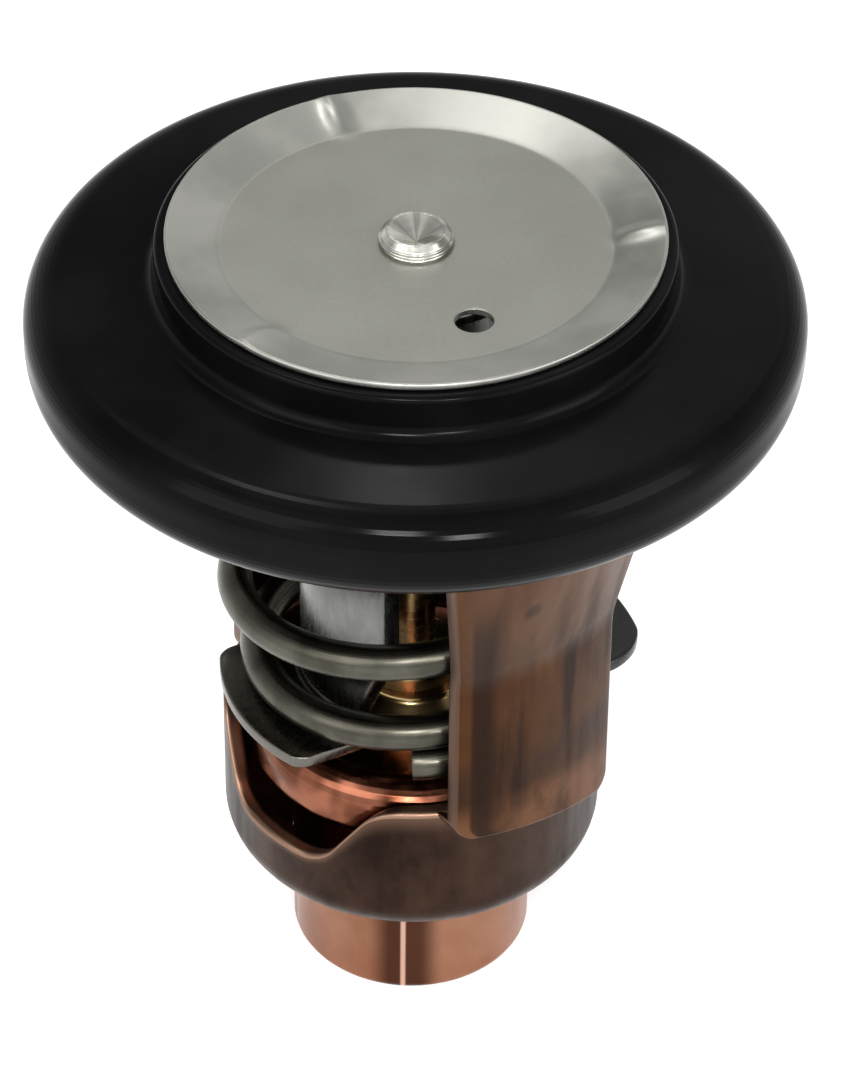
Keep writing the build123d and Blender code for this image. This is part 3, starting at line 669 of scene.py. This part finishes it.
def calc(tree, operation, first, second=0.0, third=0.0):
    """One step of arithmetic."""
    return add(tree, "ShaderNodeMath", {0: first, 1: second, 2: third}, operation=operation).outputs[0]


def product(tree, first, *others):
    """All the values multiplied together."""
    for other in others:
        first = calc(tree, "MULTIPLY", first, other)
    return first


def split(tree, place):
    """x, y and z of a place."""
    return add(tree, "ShaderNodeSeparateXYZ", {0: place}).outputs


def own_map(tree):
    """The piece's own UV map: how far along its rows, and how far round its outline."""
    return add(tree, "ShaderNodeTexCoord").outputs["UV"]


def bumped(tree, shader, height, depth, strength=1.0, after=None):
    """Surface relief from a height, with its depth in metres."""
    inputs = {"Height": height, "Distance": depth, "Strength": strength}
    if after is not None:
        inputs["Normal"] = after
    normal = add(tree, "ShaderNodeBump", inputs).outputs[0]
    tree.links.new(normal, shader.inputs["Normal"])
    return normal


# %% Materials
def finish(name, **constants):
    """New material. Returns it, its tree, its object coordinates and its shader."""
    material = bpy.data.materials.new(name)
    material.use_nodes = True
    tree = material.node_tree
    shader = tree.nodes["Principled BSDF"]
    for socket, value in constants.items():
        shader.inputs[socket.replace("_", " ")].default_value = value
    return material, tree, add(tree, "ShaderNodeTexCoord").outputs["Object"], shader


def paint(tree, shader, color, roughness=None):
    """Links a colour, and a roughness where there is one, to the shader."""
    tree.links.new(color, shader.inputs["Base Color"])
    if roughness is not None:
        tree.links.new(roughness, shader.inputs["Roughness"])


def wear(*objs, material):
    """Gives the material to the objects."""
    for obj in objs:
        obj.data.materials.clear()
        obj.data.materials.append(material)
    print(f"{material.name}: on", ", ".join(obj.name for obj in objs))


# %% [markdown]
# ## Rubber
# Moulded rubber is nearly black, and its gloss is weak and uneven: the mould leaves a fine
# grain, and handling leaves faint cloudy patches. So the colour hardly varies, while the
# roughness varies more, and a very shallow bump carries the grain.

# %% Rubber finish
RUBBER_DARK = (0.0026, 0.0026, 0.003)
RUBBER_CLOUDY = (0.0062, 0.0056, 0.0058)

rubber, tree, place, shader = finish("black_rubber", Specular_IOR_Level=0.05)
clouds = noise(tree, place, 90, 5)
color = mixed(tree, ranged(tree, clouds, 0.3, 0.75, 0, 1), RUBBER_DARK, RUBBER_CLOUDY)
paint(tree, shader, color, ranged(tree, clouds, *NOISE_SPAN, 0.13, 0.22))
bumped(tree, shader, noise(tree, place, 5200, 2), 4 * MICRON, 0.2)
wear(rubber_ring, material=rubber)

# %% [markdown]
# ## Stainless
# Cold-rolled stainless is a soft grey metal with a fine random grain and a few long
# scratches. Pressing leaves the disc's rim a little smoother and free of scratches, and the
# rim's colour is painted paler as a sheen, so colour, roughness and relief all depend on the
# distance from the axis.
# The grain is in the roughness, because relief that fine would only make highlights noisy.
# The rivet is a polished mirror for its size. Blurred sectors of light and dark stand in for
# the room in it, and they depend on the direction from its axis alone.

# %% Disc finish
DISC_DULL, DISC_CLOUDY = (0.31, 0.31, 0.278), (0.35, 0.35, 0.312)
RIM_DULL, RIM_SHEEN = (0.34, 0.34, 0.31), (0.45, 0.445, 0.41)
RIM_FADE = (0.0122, 0.0129)

disc_metal, tree, place, shader = finish("disc_stainless", Metallic=1.0)
x, y, z = split(tree, place)
from_axis = calc(tree, "SQRT", calc(tree, "ADD", product(tree, x, x), product(tree, y, y)))
rim = ranged(tree, from_axis, *RIM_FADE, 0, 1)
off_rim = calc(tree, "SUBTRACT", 1.0, rim)
clouds = noise(tree, place, 160, 6)
grain = noise(tree, place, 3200, 5)
scratches = noise(tree, place, 900, 3, (1, 0.06, 1))
flat_color = mixed(tree, ranged(tree, clouds, 0.25, 0.75, 0, 1), DISC_DULL, DISC_CLOUDY)
# Painted sheen: the rim's colour is paler than the flat middle's.
rim_sheen_color = mixed(tree, ranged(tree, clouds, 0.35, 0.65, 0, 1), RIM_DULL, RIM_SHEEN)
flat_rough = product(tree, ranged(tree, grain, *NOISE_SPAN, 0.42, 0.52), off_rim)
rim_rough = product(tree, ranged(tree, clouds, *NOISE_SPAN, 0.3, 0.4), rim)
paint(tree, shader, mixed(tree, rim, flat_color, rim_sheen_color), calc(tree, "ADD", flat_rough, rim_rough))
bumped(tree, shader, product(tree, scratches, off_rim), 4 * MICRON, 0.2)
wear(valve_disc, material=disc_metal)

# %% Rivet finish
RIVET_DULL, RIVET_BRIGHT = (0.62, 0.62, 0.55), (0.85, 0.84, 0.78)
RIVET_SECTOR = (0.25, 0.245, 0.21)

rivet_metal, tree, place, shader = finish("rivet_steel", Metallic=1.0)
rings = noise(tree, place, 2200, 3, (0.2, 0.2, 1))
outward = add(tree, "ShaderNodeVectorMath", {0: place, 1: (1, 1, 0)}, operation="MULTIPLY").outputs[0]
outward = add(tree, "ShaderNodeVectorMath", {0: outward}, operation="NORMALIZE").outputs[0]
sectors = ranged(tree, noise(tree, outward, 1.7, 2), 0.42, 0.58, 0, 1)
steel = mixed(tree, rings, RIVET_DULL, RIVET_BRIGHT)
color = mixed(tree, product(tree, sectors, 0.6), steel, RIVET_SECTOR)
paint(tree, shader, color, ranged(tree, rings, *NOISE_SPAN, 0.14, 0.26))
wear(disc_rivet, material=rivet_metal)

# %% [markdown]
# ## Dark stainless
# The yoke and the wire are darker than the disc, as stainless is once hot coolant has
# stained it. Each of the yoke's feet has a colour of its own, which begins just above it:
# the back foot's is painted shade, nearly black, and the front foot's is a warmer grey. The
# edge at the foot's end is rubbed bare. The die that the wire was drawn through left faint
# lines along it. They follow the wire by its own map, because noise that is stretched there
# runs along the coils.

# %% Yoke finish
YOKE_DARK, YOKE_PALE = (0.12, 0.12, 0.115), (0.2, 0.205, 0.195)
FRONT_FOOT, BACK_FOOT_SHADE = (0.14, 0.128, 0.112), (0.032, 0.031, 0.033)
YOKE_BARE = (0.15, 0.14, 0.12)
FEET_FADE, FEET_MEET = (0.0262, 0.0246), (-0.001, 0.001)
END_AT, END_WIDTH = 0.978, 0.006

yoke_metal, tree, place, shader = finish("yoke_stainless", Metallic=1.0)
clouds = noise(tree, place, 200, 5)
grain = noise(tree, place, 2600, 4, (1, 1, 0.2))
color = mixed(tree, ranged(tree, clouds, *NOISE_SPAN, 0, 1), YOKE_DARK, YOKE_PALE)
x, y, z = split(tree, place)
# The back foot is painted nearly black as shade, and the front one a warmer grey.
foot_color = mixed(tree, ranged(tree, y, *FEET_MEET, 0, 1), FRONT_FOOT, BACK_FOOT_SHADE)
color = mixed(tree, ranged(tree, z, *FEET_FADE, 0, 0.9), color, foot_color)
bare_edge = calc(tree, "COMPARE", split(tree, own_map(tree))[0], END_AT, END_WIDTH)
color = mixed(tree, bare_edge, color, YOKE_BARE)
paint(tree, shader, color, ranged(tree, grain, *NOISE_SPAN, 0.24, 0.32))
bumped(tree, shader, grain, 2 * MICRON, 0.15)
wear(yoke_front, yoke_back, yoke_bridge, material=yoke_metal)

# %% Wire finish
WIRE_DARK, WIRE_PALE = (0.055, 0.052, 0.040), (0.108, 0.102, 0.082)

spring_metal, tree, place, shader = finish("spring_wire", Metallic=1.0)
lines = noise(tree, own_map(tree), 6, 4, (1.5, 12, 1))
clouds = noise(tree, place, 350, 5)
color = mixed(tree, ranged(tree, clouds, *NOISE_SPAN, 0, 1), WIRE_DARK, WIRE_PALE)
paint(tree, shader, color, ranged(tree, lines, *NOISE_SPAN, 0.24, 0.35))
bumped(tree, shader, lines, 8 * MICRON, 0.4)
wear(coil_spring, material=spring_metal)

# %% [markdown]
# ## Copper with a patina
# The frame is copper plated and has been warm and wet, so it is brown. Drips ran down the
# legs and left dark streaks low on them, and the legs are paler toward their flared tops.
# Just above the bowl there are sooty patches. A paler band at the feet is a painted
# highlight, a dark band beside the left edge is painted shade, and the sheared edges are
# bare. One small smudge is placed by its distance from a point. The bowl is darker outside.
# Its brighter copper inside is painted light, a paler ring round the bore is a painted
# reflection, a paler band under its rim is a painted highlight, and its cut edge is bare.
# Each of these is a mask: a height, the distance along the section, or noise stretched
# along the leg.

# %% Brown copper
def patina(name, low_color, high_color):
    """Cloudy and drippy copper. Returns the finish's parts, its patterns and its colour so far."""
    material, tree, place, shader = finish(name, Metallic=1.0)
    drips = noise(tree, place, 520, 5, (1, 1, 0.09))
    clouds = noise(tree, place, 210, 7, (1, 1, 0.6), 0.6)
    color = mixed(tree, ranged(tree, clouds, *NOISE_SPAN, 0, 1), low_color, high_color)
    tree.links.new(ranged(tree, drips, *NOISE_SPAN, 0.3, 0.48), shader.inputs["Roughness"])
    bumped(tree, shader, noise(tree, place, 2600, 3), 15 * MICRON, 0.5)
    return material, tree, place, shader, drips, clouds, color


# %% Leg finish
LEG_BROWN, LEG_TAN, LEG_TOP_TAN = (0.044, 0.0165, 0.0056), (0.079, 0.032, 0.0115), (0.102, 0.045, 0.0205)
DRIP, SOOT, EDGE_SHADE = (0.018, 0.0085, 0.005), (0.022, 0.012, 0.009), (0.022, 0.0095, 0.005)
FOOT_HIGHLIGHT, BARE_COPPER = (0.17, 0.078, 0.04), (0.12, 0.073, 0.05)
SMUDGE, SMUDGE_PLACE, SMUDGE_FADE = (0.012, 0.006, 0.004), (0.0077, -0.0134, 0.0392), (0.0009, 0.0003)
TOP_FADE, DRIP_FADE, FOOT_HIGHLIGHT_FADE = (0.031, 0.040), (0.040, 0.030), (0.0232, 0.0205)
SOOT_FROM, SOOT_TO = (0.0212, 0.0232), (0.0275, 0.0245)
BAND_FROM, BAND_TO, BAND_FADE = (0.0, 0.012), (0.08, 0.04), (0.043, 0.037)
EDGES_AT, EDGE_WIDTH = (0.431, 0.931), 0.035

leg_copper, tree, place, shader, drips, clouds, color = patina("leg_patina", LEG_BROWN, LEG_TAN)
height = split(tree, place)[2]
color = mixed(tree, product(tree, ranged(tree, height, *TOP_FADE, 0, 1), 0.75), color, LEG_TOP_TAN)

streaky = ranged(tree, drips, 0.46, 0.66, 0, 1)
low_down = ranged(tree, height, *DRIP_FADE, 0.15, 0.95)
color = mixed(tree, product(tree, streaky, low_down), color, DRIP)

above_bowl = ranged(tree, height, *SOOT_FROM, 0, 1)
under_spring = ranged(tree, height, *SOOT_TO, 0, 1)
sooty = product(tree, under_spring, above_bowl, ranged(tree, clouds, 0.42, 0.6, 0, 0.65))
color = mixed(tree, sooty, color, SOOT)

# Painted highlight: a paler band low on the leg, at its foot.
at_foot = ranged(tree, height, *FOOT_HIGHLIGHT_FADE, 0, 0.7)
foot_highlighted = product(tree, at_foot, ranged(tree, clouds, 0.35, 0.55, 0.2, 1))
color = mixed(tree, foot_highlighted, color, FOOT_HIGHLIGHT)

from_smudge = add(tree, "ShaderNodeVectorMath", {0: place, 1: SMUDGE_PLACE}, operation="DISTANCE")
smudged = ranged(tree, from_smudge.outputs["Value"], *SMUDGE_FADE, 0, 0.6)
color = mixed(tree, smudged, color, SMUDGE)

# Painted shade: a dark band beside the left edge, where the crowned face turns away.
section = split(tree, own_map(tree))[1]
past_edge = ranged(tree, section, *BAND_FROM, 0, 1)
near_edge = ranged(tree, section, *BAND_TO, 0, 1)
edge_shaded = product(tree, past_edge, near_edge, ranged(tree, height, *BAND_FADE, 0, 0.85))
color = mixed(tree, edge_shaded, color, EDGE_SHADE)

right_edge, left_edge = [calc(tree, "COMPARE", section, at, EDGE_WIDTH) for at in EDGES_AT]
bare = product(tree, calc(tree, "ADD", right_edge, left_edge), 0.6)
paint(tree, shader, mixed(tree, bare, color, BARE_COPPER))
wear(*legs, material=leg_copper)

# %% Bowl finish
BOWL_DARK, BOWL_BROWN = (0.017, 0.0085, 0.006), (0.055, 0.030, 0.020)
BORE_REFLECTION, INSIDE_LIT_COPPER = (0.12, 0.07, 0.045), (0.20, 0.078, 0.045)
RIM_BAND_HIGHLIGHT, CUT_COPPER = (0.18, 0.105, 0.07), (0.27, 0.165, 0.115)
BORE_FADE, INSIDE_FADE = (0.0088, 0.0075), (0.5, 0.56)
BAND_BELOW = (edge_to + 0.055, edge_to + 0.01)
CUT_FROM, CUT_TO = edge_from - 0.015, edge_to + 0.02

bowl_copper, tree, place, shader, drips, clouds, color = patina("bowl_patina", BOWL_DARK, BOWL_BROWN)
height = split(tree, place)[2]
# Painted reflection: a paler ring low on the bowl, round the bore.
color = mixed(tree, ranged(tree, height, *BORE_FADE, 0, 0.6), color, BORE_REFLECTION)
across_wall = split(tree, own_map(tree))[1]
# Painted light: the inside is a brighter copper, which lifts the shade in the gap round the cup.
color = mixed(tree, ranged(tree, across_wall, *INSIDE_FADE, 0, 0.9), color, INSIDE_LIT_COPPER)
# Painted highlight: a paler band on the outside just under the rim.
color = mixed(tree, ranged(tree, across_wall, *BAND_BELOW, 0, 0.8), color, RIM_BAND_HIGHLIGHT)
past_inner = calc(tree, "GREATER_THAN", across_wall, CUT_FROM)
before_outer = calc(tree, "LESS_THAN", across_wall, CUT_TO)
cut = product(tree, calc(tree, "MAXIMUM", past_inner, before_outer), 0.85)
paint(tree, shader, mixed(tree, cut, color, CUT_COPPER))
wear(frame_bowl, frame_flange, material=bowl_copper)

# %% [markdown]
# ## Bright copper and brass
# The cup came bright from the drawing press, which leaves marks up its wall. Light catches
# such marks as a tall streak, so the shader is anisotropic: its highlight is stretched by
# the tangent that runs round the upright axis. A dark stripe down the front of the wall is
# a painted reflection of what stands before the cup, and a thin line in it is a painted
# highlight. Both are masks of the angle round the axis. Crimping tarnished the shoulder in
# patches and left it dented, which broad noise shows as relief. The guide and the pin are
# turned brass, with rings round them.

# %% Copper finish
CUP_DULL, CUP_BRIGHT = (0.25, 0.105, 0.058), (0.33, 0.16, 0.098)
DARK_REFLECTION, HIGHLIGHT_LINE = (0.042, 0.013, 0.007), (0.68, 0.42, 0.32)
TARNISH_DARK, TARNISH_PALE = (0.09, 0.027, 0.014), (0.29, 0.105, 0.062)
WALL_FADE = (0.0165, 0.0145)
STRIPE_ANGLE, STRIPE_FADE = -0.045, (0.34, 0.12)
LINE_ANGLE, LINE_FADE = -0.062, (0.03, 0.01)

copper, tree, place, shader = finish("bright_copper", Metallic=1.0, Anisotropic=0.6)
x, y, z = split(tree, place)
on_wall = ranged(tree, z, *WALL_FADE, 0, 1)
off_wall = calc(tree, "SUBTRACT", 1.0, on_wall)
streaks = noise(tree, place, 700, 4, (1, 1, 0.04))
clouds = noise(tree, place, 150, 5)
color = mixed(tree, ranged(tree, clouds, 0.35, 0.7, 0, 1), CUP_DULL, CUP_BRIGHT)
turned_by = calc(tree, "ARCTAN2", x, product(tree, y, -1.0))
# Painted reflection: a dark stripe down the front of the wall.
from_stripe = calc(tree, "ABSOLUTE", calc(tree, "SUBTRACT", turned_by, STRIPE_ANGLE))
color = mixed(tree, ranged(tree, from_stripe, *STRIPE_FADE, 0, 0.88), color, DARK_REFLECTION)
patchy = ranged(tree, noise(tree, place, 300, 2), 0.4, 0.62, 0, 1)
patches = mixed(tree, patchy, TARNISH_DARK, TARNISH_PALE)
color = mixed(tree, product(tree, off_wall, 0.8), color, patches)
# Painted highlight: a thin bright line in that stripe.
from_line = calc(tree, "ABSOLUTE", calc(tree, "SUBTRACT", turned_by, LINE_ANGLE))
line_highlighted = product(tree, ranged(tree, from_line, *LINE_FADE, 0, 0.9), on_wall)
color = mixed(tree, line_highlighted, color, HIGHLIGHT_LINE)
smoother = calc(tree, "ADD", 0.85, product(tree, on_wall, 0.15))
paint(tree, shader, color, product(tree, ranged(tree, streaks, *NOISE_SPAN, 0.2, 0.34), smoother))
around = add(tree, "ShaderNodeTangent", direction_type="RADIAL", axis="Z").outputs[0]
tree.links.new(around, shader.inputs["Tangent"])
drawn = bumped(tree, shader, streaks, 10 * MICRON, 0.35)
dents = product(tree, noise(tree, place, 210, 1), off_wall)
bumped(tree, shader, dents, 900 * MICRON, 0.6, drawn)
wear(cup_shell, material=copper)

# %% Brass finish
BRASS_DARK, BRASS_PALE = (0.32, 0.22, 0.095), (0.55, 0.41, 0.19)

brass, tree, place, shader = finish("turned_brass", Metallic=1.0)
rings = noise(tree, place, 1500, 3, (0.1, 0.1, 1))
color = mixed(tree, rings, BRASS_DARK, BRASS_PALE)
paint(tree, shader, color, ranged(tree, rings, *NOISE_SPAN, 0.2, 0.34))
bumped(tree, shader, rings, 10 * MICRON, 0.5)
wear(guide_bushing, push_pin, material=brass)

# %% [markdown]
# ## Inside the cup
# The rubber sleeve, the wax and the washer are closed in by the cup, so nothing of them shows.
# They keep the model's own plain shapes, and each gets a quiet finish for a cutaway view.

# %% Finishes for the parts inside the cup
HIDDEN = {
    "squeeze_sleeve": ("sleeve_rubber", 0.7, 500, 3, (0.012, 0.012, 0.012), (0.03, 0.03, 0.03)),
    "wax_charge": ("copper_filled_wax", 0.55, 1800, 5, (0.35, 0.2, 0.11), (0.6, 0.36, 0.22)),
    "guide_washer": ("white_polymer", 0.45, 700, 3, (0.72, 0.72, 0.7), (0.82, 0.82, 0.8)),
}
for node, (name, roughness, scale, detail, dark, pale) in HIDDEN.items():
    material, tree, place, shader = finish(name, Roughness=roughness)
    paint(tree, shader, mixed(tree, noise(tree, place, scale, detail), dark, pale))
    wear(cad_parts[node], material=material)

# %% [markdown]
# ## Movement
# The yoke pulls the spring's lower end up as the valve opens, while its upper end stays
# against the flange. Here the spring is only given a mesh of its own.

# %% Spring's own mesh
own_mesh(coil_spring)

# %% [markdown]
# ## Floor, light and camera
# A product shot has a pale floor and soft lamps. Polished metal shows its surroundings more
# than its own colour, so what the camera and the reflections see is set apart from what
# lights the scene. For them the floor glows a little, and the world is a gradient that is
# brightest near the horizon and on the camera's side. For every other ray the world is an
# even, dimmer grey, so the background stays pale without washing out the object.
#
# Eight lamps share the rest. A large one gives a wide, gentle highlight and a small one
# gives a crisp one. Four stand behind the object and are mirrored in the faces that look up.
# Two small ones in front pick out the legs, the wire and the cup, and the broad key and
# fill at the sides shape what is round.

# %% Floor
FLOOR_HALF = 4
FLOOR_GLOW = 0.42


def seen_rays(tree):
    """1 for a ray from the camera, off a glossy face or through glass, and 0 for the others."""
    rays = add(tree, "ShaderNodeLightPath").outputs
    seen = calc(tree, "MAXIMUM", rays["Is Camera Ray"], rays["Is Glossy Ray"])
    return calc(tree, "MAXIMUM", seen, rays["Is Transmission Ray"])


floor_corners = [(FLOOR_HALF * x, FLOOR_HALF * y, 0) for x, y in ((-1, -1), (1, -1), (1, 1), (-1, 1))]
floor = mesh_object("floor", floor_corners, [(0, 1, 2, 3)])
floor_paint, tree, place, shader = finish(
    "floor_paint", Roughness=0.9, Specular_IOR_Level=0.0,
    Base_Color=(0.9, 0.9, 0.9, 1), Emission_Color=(1, 1, 1, 1),
)
tree.links.new(product(tree, seen_rays(tree), FLOOR_GLOW), shader.inputs["Emission Strength"])
wear(floor, material=floor_paint)

# %% World
WORLD_LIGHT = 0.35
HORIZON_FADE, CAMERA_FADE = (0.6, 0.05), (0.2, -0.5)

world = bpy.data.worlds.new("pale_studio")
bpy.context.scene.world = world
world.use_nodes = True
tree = world.node_tree
background = tree.nodes["Background"]
background.inputs["Color"].default_value = (1, 1, 1, 1)
direction = split(tree, add(tree, "ShaderNodeTexCoord").outputs["Generated"])
near_horizon = ranged(tree, direction["Z"], *HORIZON_FADE, 0.3, 0.8)
near_camera = ranged(tree, direction["Y"], *CAMERA_FADE, 0, 0.5)
seen = seen_rays(tree)
sky = product(tree, seen, calc(tree, "ADD", near_horizon, near_camera))
light = product(tree, calc(tree, "SUBTRACT", 1.0, seen), WORLD_LIGHT)
tree.links.new(calc(tree, "ADD", sky, light), background.inputs["Strength"])
print(f"world: light of {WORLD_LIGHT} under a seen gradient")

# %% Lamps
LAMP_AIM = Vector((0, 0, 0.03))


def lamp(name, azimuth, elevation, away, width, height, power):
    """Area lamp that shines at the object, with its place given by two angles in degrees.

    Azimuth 0 is the camera's side. Its distance and its sides are in metres, its power in watts.
    """
    around, up = radians(azimuth - 90), radians(elevation)
    place = Vector((cos(up) * cos(around), cos(up) * sin(around), sin(up))) * away + LAMP_AIM
    light = bpy.data.lights.new(name, "AREA")
    light.shape = "RECTANGLE"
    light.size, light.size_y, light.energy = width, height, power
    obj = bpy.data.objects.new(name, light)
    bpy.context.scene.collection.objects.link(obj)
    aim = (LAMP_AIM - place).to_track_quat("-Z", "Y")
    obj.matrix_world = Matrix.Translation(place) @ aim.to_matrix().to_4x4()
    print(f"{name}: {power} W at {azimuth} degrees round and {elevation} up")


lamp("overhead", 200, 68, 0.6, 0.4, 0.4, 0.35)
lamp("glint", 206, 66, 0.6, 0.09, 0.09, 0.28)
lamp("back", 150, 45, 0.6, 0.4, 0.4, 0.22)
lamp("behind", 181, 49, 0.6, 0.012, 0.05, 0.07)
lamp("front", -5, 43, 0.55, 0.09, 0.06, 1.1)
lamp("low", 14, 33, 0.55, 0.07, 0.05, 0.8)
lamp("key", -50, 35, 0.6, 0.35, 0.35, 1.0)
lamp("fill", 65, 30, 0.6, 0.3, 0.3, 0.9)

# %% [markdown]
# The camera stands 0.3 m away and looks down at 40 degrees, so the disc is seen as an ellipse
# and the legs still show. It is given by angles: where it stands, which way it looks, and a
# slight roll, as of a camera held by hand.

# %% Camera
CAMERA_AWAY = 0.3
CAMERA_ABOVE = radians(37.17)
LOOK_DOWN = radians(39.8)
LOOK_LEFT = radians(0.123)
ROLL = radians(0.55)
AIM_HEIGHT = 0.0523
SENSOR_MM = 36
FOCUS_PIXELS = 4690
PICTURE_PIXELS = 1069

camera = bpy.data.cameras.new("camera")
camera.sensor_width = SENSOR_MM
camera.lens = FOCUS_PIXELS * SENSOR_MM / PICTURE_PIXELS
view = Vector((sin(LOOK_LEFT) * cos(LOOK_DOWN), cos(LOOK_LEFT) * cos(LOOK_DOWN), -sin(LOOK_DOWN)))
level = view.cross(Vector((0, 0, 1))).normalized()
upright = level.cross(view)
right = level * cos(ROLL) + upright * sin(ROLL)
top = upright * cos(ROLL) - level * sin(ROLL)
stand = Vector((0, -CAMERA_AWAY * cos(CAMERA_ABOVE), CAMERA_AWAY * sin(CAMERA_ABOVE) + AIM_HEIGHT))
turn_camera = Matrix((right, top, -view)).transposed()
camera_object = bpy.data.objects.new("camera", camera)
bpy.context.scene.collection.objects.link(camera_object)
camera_object.matrix_world = Matrix.Translation(stand) @ turn_camera.to_4x4()
bpy.context.scene.camera = camera_object
bpy.context.scene.view_settings.view_transform = "Standard"
print(f"camera: a {camera.lens:.1f} mm lens, {stand.z:.3f} m up")
